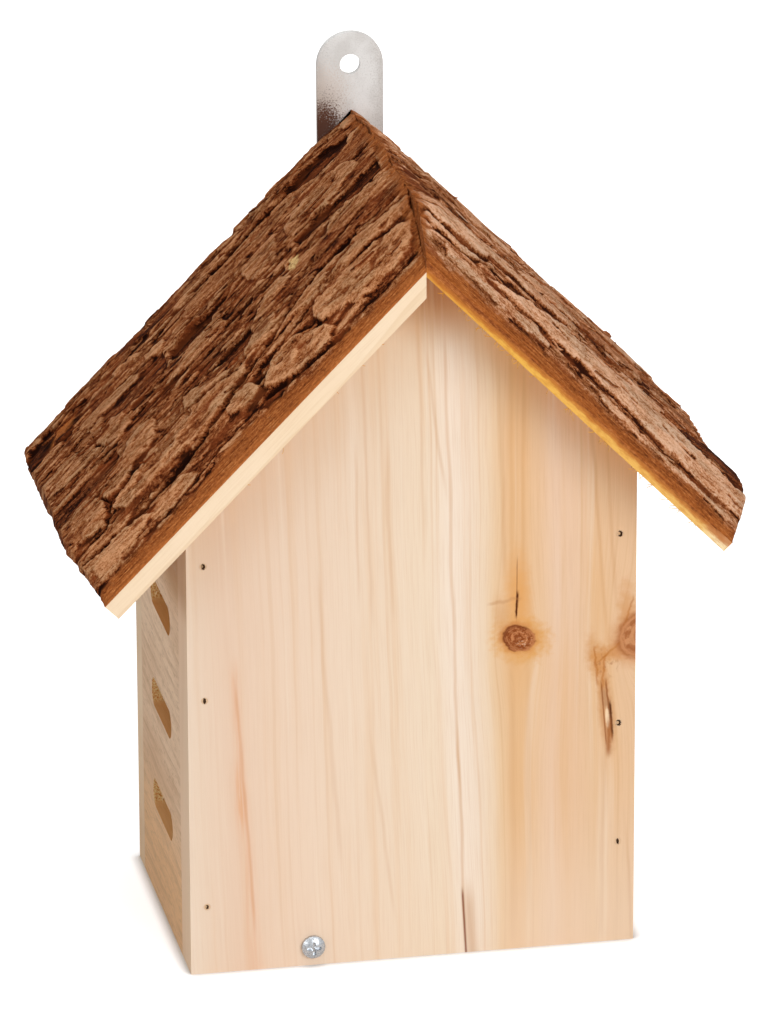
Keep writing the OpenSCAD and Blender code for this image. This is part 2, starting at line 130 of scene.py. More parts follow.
class Finish:
    """A material in the making. x, y and z are the place on the object in millimetres."""

    def __init__(self, name):
        self.material = bpy.data.materials.new(name)
        self.material.use_nodes = True
        self.tree = self.material.node_tree
        self.shader = self.tree.nodes["Principled BSDF"]
        coords = self.add("ShaderNodeTexCoord")
        scaled = self.add("ShaderNodeVectorMath", operation="SCALE")
        self.tree.links.new(coords.outputs["Object"], scaled.inputs[0])
        scaled.inputs["Scale"].default_value = 1 / MM
        self.x, self.y, self.z = self.split(scaled.outputs[0])
        self.nx, self.ny, self.nz = (v.abs() for v in self.split(coords.outputs["Normal"]))

    def add(self, kind, **settings):
        node = self.tree.nodes.new(kind)
        for key, value in settings.items():
            setattr(node, key, value)
        return node

    def split(self, socket):
        node = self.add("ShaderNodeSeparateXYZ")
        self.tree.links.new(socket, node.inputs[0])
        return [Val(self.tree, out) for out in node.outputs]

    def noise(self, x, y, z=0.0, detail=2.0, rough=0.5):
        """Smooth noise about 0.5, with bumps about one unit of its coordinates apart."""
        place = self.add("ShaderNodeCombineXYZ")
        for socket, value in zip(place.inputs, (x, y, z)):
            plug(self.tree, socket, value)
        node = self.add("ShaderNodeTexNoise")
        node.inputs["Scale"].default_value = 1.0
        node.inputs["Detail"].default_value = detail
        node.inputs["Roughness"].default_value = rough
        self.tree.links.new(place.outputs[0], node.inputs["Vector"])
        return Val(self.tree, node.outputs[0])

    def ease(self, value, low, high, out_low=0.0, out_high=1.0):
        """Runs smoothly from out_low to out_high while value goes from low to high."""
        node = self.add("ShaderNodeMapRange", interpolation_type="SMOOTHSTEP")
        for socket, number in zip(node.inputs, (value, low, high, out_low, out_high)):
            plug(self.tree, socket, number)
        return Val(self.tree, node.outputs[0])

    def ramp(self, value, stops):
        node = self.add("ShaderNodeValToRGB")
        ramp = node.color_ramp
        while len(ramp.elements) < len(stops):
            ramp.elements.new(0.5)
        for element, (place, colour) in zip(ramp.elements, stops):
            element.position, element.color = place, (*colour, 1.0)
        plug(self.tree, node.inputs[0], value)
        return Val(self.tree, node.outputs[0])

    def mix(self, share, first, second, blend="MIX"):
        node = self.add("ShaderNodeMix", data_type="RGBA", blend_type=blend)
        for socket, value in zip((node.inputs[0], node.inputs[6], node.inputs[7]),
                                 (share, first, second)):
            plug(self.tree, socket, value)
        return Val(self.tree, node.outputs[2])

    def base(self, share, first, second):
        """The colour that the coats go over."""
        self.colour = self.mix(share, first, second)

    def coat(self, share, tone, blend="MIX"):
        """Lays a tone over the colour so far, share of it from 0 to 1."""
        self.colour = self.mix(share, self.colour, tone, blend)

    def attribute(self, name):
        return Val(self.tree, self.add("ShaderNodeAttribute", attribute_name=name).outputs["Fac"])

    def oval(self, u, v, at_u, at_v, half_u, half_v, tilt=0.0):
        """1 on the rim of an oval, 0 in its middle, and more outside. tilt is in degrees."""
        c, s = math.cos(math.radians(tilt)), math.sin(math.radians(tilt))
        du, dv = u - at_u, v - at_v
        p, q = (du * c + dv * s) / half_u, (dv * c - du * s) / half_v
        return (p * p + q * q).sqrt()

    def stroke(self, across, along, start, end, half_width, fade=6.0):
        """1 on a straight line from start down to end, and 0 off it. Points are (across, along)."""
        (a0, l0), (a1, l1) = start, end
        slope = (a1 - a0) / (l1 - l0)
        off = (across - ((along - l0) * slope + a0)).abs()
        inside = self.ease(along, l1 - fade, l1) * self.ease(along, l0, l0 + fade, 1.0, 0.0)
        return self.ease(off, 0.0, half_width, 1.0, 0.0) * inside

    def done(self, roughness, height=None, depth=0.1, metallic=0.0, specular=0.5):
        """Joins everything to the shader. height is in parts of depth, which is in millimetres."""
        plug(self.tree, self.shader.inputs["Base Color"], self.colour)
        plug(self.tree, self.shader.inputs["Roughness"], roughness)
        plug(self.tree, self.shader.inputs["Specular IOR Level"], specular)
        self.shader.inputs["Metallic"].default_value = metallic
        if height is not None:
            bump = self.add("ShaderNodeBump")
            bump.inputs["Distance"].default_value = depth * MM
            plug(self.tree, bump.inputs["Height"], height)
            self.tree.links.new(bump.outputs[0], self.shader.inputs["Normal"])
        return self.material


# Pine


def fibres(f, across, along, fine=0.45):
    """The fine lengthwise texture of planed or sawn pine, about 0.5."""
    return f.noise(across / fine, along / 22, detail=3, rough=0.6)


def rings(f, across, depth, pith, width):
    """Growth rings about a pith at (across, depth): 1 on the dark edge of each ring."""
    du, dv = across - pith[0], depth - pith[1]
    count = (du * du + dv * dv).sqrt() / width
    part = count.fract()
    return f.ease(part, 0.35, 0.93) * f.ease(part, 0.93, 1.0, 1.0, 0.0)


def pine(name, axes, pith, ring_w, light, dark, line=rgb(190, 138, 88), grain=0.5):
    """Plain pine. axes names the axis along the grain, the one across it and the board's depth."""
    f = Finish(name)
    l, a, d = (getattr(f, axis) for axis in axes)
    # How far a face looks along the grain
    e = getattr(f, "n" + axes[0])
    a = a + (f.noise(a / 30, l / 90, d / 30) - 0.5) * 7
    ring = rings(f, a, d, pith, ring_w) * f.ease(f.noise(a / 14, l / 160, 3.0), 0.35, 0.65, 0.3, 1.0)
    patch = f.ease(f.noise(a / 22, l / 130, d / 22, detail=3), 0.32, 0.7)
    fibre = fibres(f, a, l)
    cross = f.noise(a / 0.5, d / 0.5, l / 3, detail=2)
    fine = f.ease(e, 0.4, 0.8) * (cross - fibre) + fibre
    f.base(patch, light, dark)
    f.coat(ring * grain, line)
    f.coat(f.ease(fine, 0.35, 0.75, 0.0, 0.22), line)
    f.coat(f.ease(e, 0.4, 0.8, 0.0, 0.45), line)
    height = fine * 0.8 - ring * 0.25
    return f.done(0.62, height, 0.09)


def front_grain(f):
    """Upright grain that bows round the knots: bands, tints, streaks and growth lines. Gives the
    place across the grain, its fibres and streaks, and a wavy x that thin marks follow."""
    x, z = f.x, f.z
    bowed = x + f.y * 0.35 + 16.3
    for knot_x, knot_z, size in ((31.8, 99.0, 4.6), (68.5, 96.5, 6.5)):
        dx, dz = x - knot_x, (z - knot_z) / 2.6
        bowed = bowed - dx * (size * size) / (dx * dx + dz * dz + size * size * 0.3)
    lean = (z - 100) * 0.032 * f.ease(x, 18, 30, 1.0, 0.0)
    waver = (f.noise(x / 40, z / 75) - 0.5) * 5
    grain = bowed + lean + waver * 0.6

    bands = [(-67, rgb(237, 213, 189)), (-55, rgb(234, 203, 177)), (-40, rgb(238, 210, 185)),
             (-18, rgb(239, 214, 189)), (6, rgb(240, 217, 190)), (14, rgb(245, 226, 206)),
             (19, rgb(241, 220, 198)), (24, rgb(238, 212, 182)), (27, rgb(234, 200, 160)),
             (33, rgb(230, 188, 142)), (38, rgb(233, 194, 154)), (43, rgb(235, 201, 172)),
             (50, rgb(233, 196, 162)), (55, rgb(230, 190, 148)), (67, rgb(232, 192, 152))]
    f.colour = f.ramp((grain + HALF_W) / (2 * HALF_W),
                      [((at + HALF_W) / (2 * HALF_W), tone) for at, tone in bands])

    # Painted shade under the roof, honey-coloured as if the roof's wood colours the light, strongest at
    # the peak. It fades with the distance below each slope.
    shade_below_right_roof = (222.9 - z - x * 0.981) * 0.714
    f.coat(f.ease(shade_below_right_roof, 1, 17, 0.8, 0.0), rgb(244, 208, 166), "MULTIPLY")
    shade_below_left_roof = (212.9 - z + x * 1.007) * 0.705
    f.coat(f.ease(shade_below_left_roof, 4, 32, 0.9, 0.0), rgb(239, 231, 221), "MULTIPLY")
    # Deeper painted shade round the peak, under the left board's end
    peak = f.oval(x, z, 6, 212, 22, 24)
    f.coat(f.ease(peak, 0.2, 1.0, 0.95, 0.0), rgb(228, 190, 150), "MULTIPLY")

    # Soft streaks along the grain, and thin dark growth lines, plainest at the left
    bold = f.ease(x, -45, 40, 0.5, 1.15)
    streak = f.noise(grain / 5.5, z / 260, detail=3, rough=0.6)
    f.coat(f.ease(streak, 0.5, 0.72, 0.0, 0.55) * bold, rgb(229, 188, 146))
    f.coat(f.ease(streak, 0.47, 0.3, 0.0, 0.35), rgb(246, 228, 208))
    thin = f.noise(grain / 1.7, z / 420, 7.0, detail=2)
    f.coat(f.ease(thin, 0.56, 0.72, 0.0, 0.4) * bold, rgb(218, 174, 128))
    fibre = fibres(f, grain, z, 0.4)
    f.coat(f.ease(fibre, 0.4, 0.75, 0.0, 0.2) * bold, rgb(206, 158, 112))

    # Single growth lines: upper end, lower end, half width and strength
    warp_x = x + (f.noise(x / 9, z / 26, 2.0) - 0.5) * 1.6
    lines = (((-27.5, 112), (-22.5, 42), 1.2, 0.2), ((-14.8, 186), (-12.4, 118), 0.9, 0.28),
             ((-16.6, 152), (-16.2, 124), 0.8, 0.25), ((-7.2, 152), (-6.4, 118), 1.1, 0.26),
             ((1.6, 196), (3.4, 138), 0.8, 0.25), ((5.2, 180), (8.4, 156), 0.9, 0.28),
             ((9.8, 186), (13.6, 62), 0.9, 0.36), ((13.6, 62), (15.4, 12), 0.9, 0.42),
             ((-11.4, 62), (-6.8, 24), 1.0, 0.2), ((29.0, 214), (29.6, 120), 1.1, 0.34),
             ((33.2, 200), (32.8, 118), 1.0, 0.3), ((25.6, 176), (27.4, 126), 1.2, 0.3),
             ((53.4, 162), (57.6, 108), 1.0, 0.4), ((57.2, 170), (60.4, 118), 1.0, 0.32),
             ((30.0, 92), (30.4, 14), 1.8, 0.3), ((34.5, 88), (35.2, 20), 1.4, 0.22),
             ((57.8, 62), (57.2, 12), 1.1, 0.3), ((65.4, 24), (66.4, 2), 0.8, 0.5))
    for start, end, half, strength in lines:
        mark = f.stroke(warp_x, z, start, end, half, 16.0)
        f.coat(mark * strength, rgb(204, 150, 96))
    return grain, fibre, streak, warp_x


def front_glows(f, grain, streak, warp_x):
    """The pink streak at the left, and the honey glow over and under the knots."""
    x, z = f.x, f.z
    pink = f.stroke(warp_x, z, (-53.0, 92), (-51.4, 52), 2.4, 10) * 0.5
    pink = pink + f.stroke(warp_x, z, (-51.6, 56), (-47.2, -4), 3.8, 14) * 0.42
    pink = pink * f.ease(fibres(f, grain, z, 0.9), 0.36, 0.58, 0.45, 1.0)
    f.coat(pink.clamp(), rgb(228, 172, 130))
    thread = f.stroke(warp_x, z, (-52.4, 84), (-48.0, 20), 0.9, 12) * 0.45
    f.coat(thread, rgb(216, 152, 106))
    glow = 0.0
    for start, end, half, fade_l, share in (
            ((31.0, 196), (31.4, 102), 5.6, 34, 0.55), ((32.0, 94), (32.0, -10), 7.0, 20, 0.32),
            ((45.5, 84), (46.5, -10), 9.0, 26, 0.3), ((55.5, 112), (58.5, 66), 5.5, 24, 0.45)):
        glow = f.stroke(x, z, start, end, half, fade_l) * share + glow
    f.coat((glow * f.ease(streak, 0.3, 0.6, 0.55, 1.1)).clamp(), rgb(228, 176, 118))
    paler = f.ease(z, 55, 0) * f.ease(x, 18, 34)
    f.coat(paler * 0.45, rgb(243, 220, 196))


def round_knot(f, rough_edge, swirl):
    """The round knot with its halo. Gives where it is, and its turns."""
    x, z = f.x, f.z
    knot = f.oval(x, z, 31.8, 98.9, 5.5, 4.4, -24) + rough_edge * 0.3 + swirl * 0.35
    halo = f.oval(x, z, 32.4, 98.6, 10.4, 8.6, -20) + rough_edge + swirl * 0.5
    f.coat(f.ease(halo, 0.4, 1.1, 1.0, 0.0), rgb(222, 160, 86))
    flame = f.oval(x, z, 31.6, 112.0, 4.8, 17.0, 2) + rough_edge * 0.6 + swirl * 0.3
    f.coat(f.ease(flame, 0.1, 1.2, 0.9, 0.0), rgb(226, 162, 90))
    shoulder = f.oval(x, z, 26.8, 106.0, 3.4, 8.4, 8) + rough_edge * 0.6 + swirl * 0.3
    f.coat(f.ease(shoulder, 0.1, 1.2, 0.55, 0.0), rgb(214, 158, 100))
    near_knot = f.ease(knot, 0.9, 1.35, 0.7, 0.0) * f.ease(x - z * 0.6, -31.0, -24.0, 1.0, 0.4)
    f.coat(near_knot, rgb(196, 118, 50))
    turns = f.noise(knot * 3.0, swirl * 3.0, 4.0, detail=3, rough=0.6)
    inside = f.mix(f.ease(turns, 0.42, 0.58), rgb(140, 72, 34), rgb(202, 132, 84))
    upper_left = f.ease(x - z * 0.8, -49.0, -44.4, 0.9, 0.2)
    inside = f.mix(f.ease(knot, 0.6, 0.9) * upper_left, inside, rgb(112, 50, 18))
    flecks = f.ease(f.noise(x, z / 0.45, 9.0), 0.56, 0.68) * f.ease(knot, 0.35, 0.85, 1.0, 0.0)
    flecks = flecks * f.ease(z, 97.4, 99.8, 1.0, 0.1) * f.ease(x, 30.2, 32.7)
    inside = f.mix(flecks, inside, rgb(240, 200, 164))
    in_knot = f.ease(knot, 0.84, 1.0, 1.0, 0.0)
    f.coat(in_knot, inside)
    return in_knot, turns


def half_knot(f, rough_edge, swirl):
    """Half a knot at the right edge, with a stain that runs down to the resin pocket. Gives where
    the knot and the stain's dark curves are."""
    x, z = f.x, f.z
    deeper = f.ease(f.y, -46.4, -34.0)
    edge_knot = f.oval(x, z, 69.6, 97.4, 9.0, 7.6, 34) + rough_edge * 0.2 + swirl * 0.2 + deeper
    stains = ((60.5, 92.4, 6.5, 3.6, 0.85), (56.0, 90.0, 3.6, 6.4, 0.9), (57.2, 83.0, 2.2, 6.6, 0.85),
              (64.0, 106.0, 3.2, 11.0, 0.6), (53.6, 93.0, 2.4, 8.0, 0.5))
    for at_x, at_z, half_x, half_z, share in stains:
        stain = f.oval(x, z, at_x, at_z, half_x, half_z) + rough_edge * 0.9 + swirl * 0.9
        f.coat(f.ease(stain, 0.1, 1.2, share, 0.0), rgb(208, 142, 74))
    spots = f.ease(f.noise(x / 1.3, z / 2.2, 21.0), 0.54, 0.7)
    near_stain = f.oval(x, z, 58.0, 89.0, 5.0, 5.4)
    f.coat(spots * f.ease(near_stain, 0.4, 1.1, 0.6, 0.0), rgb(172, 104, 50))
    wander, curves = x + swirl * 1.6, 0.0
    for start, end, half in (((62.0, 95.0), (57.4, 91.0), 0.9), ((57.6, 90.0), (57.0, 82.0), 0.7),
                             ((54.6, 93.0), (55.4, 84.0), 0.6), ((65.8, 108.0), (63.6, 101.0), 0.6)):
        curve = f.stroke(wander, z, start, end, half, 3.0)
        f.coat(curve * 0.55, rgb(180, 108, 52))
        curves = curve + curves
    f.coat(f.ease(edge_knot, 0.8, 1.5, 0.85, 0.0), rgb(206, 140, 82))
    bands_in = f.noise(edge_knot * 3.4, swirl * 1.5, 6.0, detail=2, rough=0.5)
    inside = f.mix(f.ease(bands_in, 0.4, 0.6), rgb(164, 96, 54), rgb(206, 144, 98))
    inside = f.mix(f.ease(edge_knot, 0.74, 0.94, 0.0, 0.6), inside, rgb(160, 90, 44))
    in_edge = f.ease(edge_knot, 0.8, 1.12, 0.9, 0.0)
    f.coat(in_edge, inside)
    return in_edge, curves


def resin_pocket(f, rough_edge):
    """Brown over a pale heart, darkest down its right side. Gives its split and its resin."""
    x, z = f.x, f.z
    pocket = f.oval(x, z, 58.4, 73.0, 2.2, 11.0, 6) + rough_edge * 1.1
    f.coat(f.ease(pocket, 0.45, 1.5, 0.8, 0.0), rgb(200, 138, 82))
    brown = f.oval(x, z, 57.8, 77.8, 1.2, 4.0, 12) + rough_edge * 0.7
    f.coat(f.ease(brown, 0.5, 1.15, 0.9, 0.0), rgb(190, 138, 92))
    heart = f.oval(x, z, 58.7, 71.8, 0.85, 3.8, 5) + rough_edge * 0.6
    f.coat(f.ease(heart, 0.6, 1.1, 0.95, 0.0), rgb(246, 212, 172))
    brown_side = f.stroke(x + rough_edge * 0.9, z, (58.2, 82.0), (60.0, 66.0), 0.5, 3.0)
    f.coat(brown_side * 0.75, rgb(140, 78, 40))
    split_low = f.stroke(x + rough_edge * 0.9, z, (59.4, 75.5), (60.1, 67.5), 0.6, 2.5)
    f.coat(split_low, rgb(84, 40, 18))
    split_left = f.stroke(x + rough_edge * 0.5, z, (56.8, 81.5), (58.2, 65), 0.4, 3.0)
    f.coat(split_left * 0.75, rgb(146, 86, 46))
    tail = f.stroke(x + rough_edge * 1.2, z, (59.2, 69), (59.0, 62), 1.3, 4.0)
    f.coat(tail * 0.8, rgb(166, 100, 54))
    return split_low, tail + brown_side + split_left


def front_cracks(f, rough_edge, swirl):
    """The crack over the knot, the split at the bottom edge, and a faint cross mark."""
    x, z = f.x, f.z
    thin_crack = f.stroke(x, z, (31.2, 121.0), (31.1, 108.0), 0.3, 5) * 0.6
    wide_crack = f.stroke(x + rough_edge * 1.2, z, (31.3, 112.0), (31.0, 107.2), 0.65, 2.6)
    crack = (thin_crack + wide_crack).clamp()
    f.coat(crack, f.mix(f.ease(crack, 0.5, 1.0), rgb(128, 70, 34), rgb(84, 40, 18)))
    cross_mark = f.stroke(z + swirl * 2, x, (111.4, 31.0), (110.4, 24.0), 0.9, 2.5) * 0.4
    f.coat(cross_mark, rgb(190, 126, 72))
    split = f.stroke(x, z, (15.0, 18), (16.0, 0), 0.6, 4)
    stain = f.stroke(x, z, (17.0, 14), (18.2, -6), 3.0, 12)
    f.coat(stain * 0.5, rgb(198, 148, 100))
    f.coat(split * 0.85, rgb(128, 62, 32))
    return crack + split


def front_finish():
    """The front panel: upright grain with honey bands, two knots, a resin pocket and a split."""
    f = Finish("pine_front")
    x, z = f.x, f.z
    rough_edge = (f.noise(x / 1.6, z / 1.6, detail=3) - 0.5) * 0.5
    swirl = f.noise(x / 2.6, z / 2.2, 11.0, detail=2) - 0.5
    grain, fibre, streak, warp_x = front_grain(f)
    front_glows(f, grain, streak, warp_x)
    in_knot, turns = round_knot(f, rough_edge, swirl)
    in_edge, curves = half_knot(f, rough_edge, swirl)
    split_low, resin = resin_pocket(f, rough_edge)
    cracks = front_cracks(f, rough_edge, swirl) + split_low
    # Face to the ground: end grain. The long edges are a little darker than the front.
    f.coat(f.ease(f.nz, 0.5, 0.9, 0.0, 0.5), rgb(206, 158, 108))
    f.coat(f.ease(f.nx, 0.5, 0.9), rgb(250, 238, 222), "MULTIPLY")
    # Painted shade on the long edges just under the roof
    edge_shade_under_roof = f.ease(f.nx, 0.5, 0.9) * f.ease(z, 107, 119)
    f.coat(edge_shade_under_roof, rgb(223, 208, 182), "MULTIPLY")
    # Resin and cracks are duller than the planed wood
    dull = (cracks + resin + curves + in_knot + in_edge).clamp()
    height = fibre * 0.5 + turns * in_knot - cracks * 0.8
    return f.done(0.6, height, 0.1, specular=dull * -0.46 + 0.5)


def wall_finish():
    """Side walls: sawn pine with its grain lying level, and rough end grain in the slots' ends."""
    f = Finish("pine_walls")
    y, z = f.y, f.z
    a = z + (f.noise(y / 60, z / 24) - 0.5) * 8
    ring = rings(f, a, f.x * 0.6, (-40, 0), 5.2)
    patch = f.ease(f.noise(y / 90, z / 26, f.x / 30, detail=3), 0.35, 0.68)
    fibre = fibres(f, a, y, 0.5)
    f.base(patch, rgb(240, 207, 173), rgb(218, 178, 140))
    f.coat(f.ease(z, 46, 20, 0.0, 0.8), rgb(234, 184, 130))
    # Painted shade along the walls' top, under the roof
    f.coat(f.ease(z, 104, 119), rgb(214, 192, 158), "MULTIPLY")
    broken = f.ease(f.noise(y / 34, z / 9, 12.0, detail=3), 0.36, 0.62)
    f.coat(ring * broken * 0.4, rgb(186, 144, 106))
    f.coat(f.ease(fibre, 0.38, 0.74, 0.0, 0.36), rgb(178, 136, 98))
    mottle = f.noise(y / 5, a / 1.6, 15.0, detail=4, rough=0.7)
    f.coat(f.ease(mottle, 0.48, 0.7, 0.0, 0.6), rgb(190, 152, 116))
    checks = f.ease(f.noise(y / 7, a / 0.7, 5.0, detail=2), 0.66, 0.76)
    checks = checks * f.ease(f.noise(y / 30, z / 14, 8.0), 0.46, 0.6)
    f.coat(checks * 0.6, rgb(120, 84, 58))

    # Cut faces of the slots look up, down or along the grain, never square to the wall
    cut = f.ease(f.nx, 0.75, 0.4) * f.ease(z, 14, 22)
    smooth_cut = f.mix(f.noise(y / 12, f.x / 0.8, detail=2), rgb(246, 200, 142), rgb(228, 170, 108))
    f.coat(cut, smooth_cut)
    curls = f.noise(f.x / 0.55, z / 0.5, y / 1.4, detail=3, rough=0.7)
    end = cut * f.ease(f.ny, 0.35, 0.75)
    f.coat(end, f.mix(f.ease(curls, 0.35, 0.6), rgb(218, 138, 70), rgb(255, 228, 166)))
    f.coat(f.ease(f.ny, 0.8, 0.95) * f.ease(cut, 0.5, 0.1), rgb(200, 150, 100))
    height = fibre * 0.7 - ring * 0.2 - checks * 1.2 + end * curls * 3
    return f.done(0.75, height, 0.12, specular=(cut + end).clamp() * -0.45 + 0.5)


def on_slope(f, side):
    """How far down a roof's slope a place lies, and how far it lies off the board's underside."""
    c, k = SIDES[side]["cos"], SIDES[side]["sin"]
    up = f.z - SIDES[side]["ridge_z"]
    return f.x * (side * c) - up * k, f.x * (side * k) + up * c


def inner_bark(f, s, y, n):
    """The rusty, fibrous bark under the corky outer layers."""
    fibre = f.noise(s / 9, y / 0.6, n / 0.5, detail=4, rough=0.7)
    fibre = fibre + (f.noise(s / 1.2, y / 0.6, n / 0.6, detail=3, rough=0.75) - 0.5) * 0.8
    return f.ramp(fibre, [(0.26, rgb(90, 40, 16)), (0.44, rgb(144, 76, 34)), (0.58, rgb(172, 98, 48)),
                          (0.78, rgb(210, 140, 82))])


def roof_board_finish(side):
    """Sawn slab under the bark. The right one has no sawn front edge: it shows yellow sapwood."""
    f = Finish("pine_roof_left" if side < 0 else "pine_roof_right")
    s, n = on_slope(f, side)
    y = f.y
    a = y + (f.noise(s / 70, y / 20) - 0.5) * 8
    ring = rings(f, a, n, (10, -60), 4.5)
    fibre = f.noise(a / 0.6 + n / 0.6, s / 16, detail=3, rough=0.6)
    f.base(f.noise(s / 40, a / 14, detail=3), rgb(250, 226, 196), rgb(242, 212, 174))
    f.coat(ring * 0.25, rgb(216, 174, 124))
    f.coat(f.ease(fibre, 0.4, 0.78, 0.0, 0.25), rgb(222, 184, 138))
    # The plumb cut at the ridge shows as a thin line between the two barks, where it lies in shade:
    # painted shade in the inner bark's dark rusty colour
    plumb = f.ease(f.nx, 0.85, 0.97)
    f.coat(plumb, inner_bark(f, s, y, n))
    if side > 0:
        front = f.ease(y, -64.5, -67.0)
        fleck = f.ease(f.noise(s / 4, n / 1.2, detail=4, rough=0.65), 0.4, 0.66)
        gold = f.ramp(s / 126 + 0.02, [(0.0, rgb(218, 150, 62)), (0.12, rgb(230, 168, 70)),
                                       (0.35, rgb(238, 182, 82)), (0.75, rgb(238, 184, 96)),
                                       (0.93, rgb(238, 192, 112)), (0.99, rgb(250, 226, 178))])
        sap = f.mix(fleck * 0.55, gold, rgb(206, 134, 56))
        seam = 0.7 + f.ease(s, 4, 50, 0.0, 1.1) + (f.noise(s / 9, 2.0, detail=3) - 0.5) * 2.4
        above = n - seam + (f.noise(s / 3, n / 0.5, 6.0, detail=3, rough=0.7) - 0.5) * 1.8
        sap = f.mix(f.ease(above, -0.7, 0.5) * 0.8, sap, rgb(184, 102, 42))
        sap = f.mix(f.ease(above, 0.2, 1.8) * f.ease(s, 124, 118), sap, inner_bark(f, s, y, n))
        f.coat(front * (1 - plumb), sap)
        dull = (front + plumb).clamp()
        return f.done(0.8, fibre * 0.8 - ring * 0.2, 0.12, specular=dull * -0.4 + 0.5)
    return f.done(0.66, fibre * 0.8 - ring * 0.2, 0.12, specular=plumb * -0.4 + 0.5)


# Metal


def steel_finish():
    """Galvanised plate: satin, finely speckled, with a painted reflection of the bark low on its left
    side, dark brown and speckled with a warm fringe.
    """
    f = Finish("galvanised_steel")
    speck = f.noise(f.x / 0.5, f.z / 0.5, f.y / 0.5, detail=3, rough=0.7)
    cloud = f.noise(f.x / 6, f.z / 9, f.y / 6, detail=3)
    f.base(f.ease(cloud, 0.35, 0.7), rgb(236, 234, 231), rgb(220, 217, 213))
    to_edge = f.ease((f.x.abs() - 6) * 0.25 + (speck - 0.5) * 2.5, 0.0, 1.0)
    f.coat(f.ease(speck, 0.5, 0.68, 0.0, 0.25) + to_edge * 0.3, rgb(176, 168, 160))
    # Painted reflection of the bark above: a dark brown speckled patch, and a warm fringe round it
    painted_bark_reflection = f.oval(f.x, f.z, -11.0, 229.5, 8.0, 10.0, -24) + (speck - 0.5) * 2.4 + (cloud - 0.5)
    painted_bark_reflection = f.ease(painted_bark_reflection, 0.55, 1.25, 1.0, 0.0) * f.ease(f.y, 47.0, 48.2, 1.0, 0.0)
    bark_reflection_fringe = f.oval(f.x, f.z, -9, 240, 8, 9, 0) + (speck - 0.5) * 3.0
    f.coat(f.ease(bark_reflection_fringe, 0.5, 1.4, 0.4, 0.0), rgb(188, 156, 130))
    f.coat(painted_bark_reflection * 0.95, rgb(84, 42, 20))
    return f.done(f.ease(speck, 0.3, 0.7, 0.42, 0.58), speck, 0.03, metallic=0.12,
                  specular=painted_bark_reflection * -0.45 + 0.5)


def zinc_finish():
    f = Finish("zinc_screws")
    speck = f.noise(f.x / 0.4, f.y / 0.4, f.z / 0.4, detail=3)
    f.base(f.ease(speck, 0.35, 0.7), rgb(208, 212, 216), rgb(168, 172, 178))
    return f.done(f.ease(speck, 0.3, 0.7, 0.2, 0.36), speck, 0.03, metallic=1.0)


# Nails seen at the front: x, z, half width and half height of the dark mark, and how much of the
# mark's middle is pale
FRONT_NAILS = ((-62, 21.3, 0.6, 0.7, 0.8), (-62, 86.6, 0.5, 1.0, 0.1), (-62, 128.4, 0.7, 0.95, 0.5),
               (62, 31.9, 0.45, 1.0, 0.1), (62, 69.8, 0.8, 1.0, 0.9), (62, 129.4, 0.8, 1.0, 0.9))


def nail_finish():
    """Sunk brads: a dark mark, pale at its left where wood is pressed in over the head."""
    f = Finish("dark_nails")
    x, z = f.x, f.z
    grit = f.noise(x / 0.35, z / 0.35, f.y / 0.35, detail=3, rough=0.7)
    nearest, pale = 9.0, 0.0
    for at_x, at_z, half_x, half_z, share in FRONT_NAILS:
        mark = f.oval(x, z, at_x, at_z, half_x, half_z, 8)
        nearest = mark.math("MINIMUM", mark, nearest)
        middle = f.oval(x, z, at_x - 0.4, at_z + 0.1, half_x * 0.75, half_z * 0.6)
        pale = f.ease(middle, 0.7, 1.0, share, 0.0) + pale
    head = f.ease(nearest + (grit - 0.5) * 1.2, 0.85, 1.05, 1.0, 0.0)
    iron = f.mix(pale.clamp(), rgb(56, 36, 22), rgb(214, 176, 136))
    f.base(head, rgb(228, 192, 156), iron)
    return f.done(0.85, grit, 0.08, specular=0.08)


# Noise on arrays, for the shapes of bark and shavings


def fade(t):
    return t * t * (3 - 2 * t)


def step(x, low, high):
    """0 below low, 1 above high, and smooth between."""
    return fade(np.clip((x - low) / (high - low), 0, 1))


def value_noise(x, y, seed):
    """Smooth noise from -1 to 1, with a bump in each unit square."""
    table = np.random.default_rng(seed).uniform(-1, 1, (256, 256))
    xi, yi = np.floor(x).astype(int), np.floor(y).astype(int)
    fx, fy = fade(x - xi), fade(y - yi)
    x0, x1, y0, y1 = xi % 256, (xi + 1) % 256, yi % 256, (yi + 1) % 256
    low = table[x0, y0] * (1 - fx) + table[x1, y0] * fx
    high = table[x0, y1] * (1 - fx) + table[x1, y1] * fx
    return low * (1 - fy) + high * fy


def layers(x, y, seed, count=4):
    """Noise in several sizes, each half the last."""
    total = 0
    for k in range(count):
        total = total + value_noise(x * 2**k + 17.3 * k, y * 2**k + 5.1 * k, seed + k) / 2**k
    return total / 1.6


def blur(field, reach):
    """The mean of a field over a square of 2 * reach + 1 steps."""
    for axis in (0, 1):
        padded = np.pad(field, [(reach + 1, reach) if a == axis else (0, 0) for a in (0, 1)], "edge")
        total = np.cumsum(padded, axis=axis)
        size = 2 * reach + 1
        low = np.take(total, range(0, total.shape[axis] - size), axis=axis)
        high = np.take(total, range(size, total.shape[axis]), axis=axis)
        field = (high - low) / size
    return field


def to_line(s, u, points):
    """Distance to a line through points."""
    best = np.full(s.shape, 1e9)
    for (s0, u0), (s1, u1) in zip(points, points[1:]):
        ds, du = s1 - s0, u1 - u0
        t = np.clip(((s - s0) * ds + (u - u0) * du) / (ds * ds + du * du), 0, 1)
        best = np.minimum(best, np.hypot(s - s0 - t * ds, u - u0 - t * du))
    return best


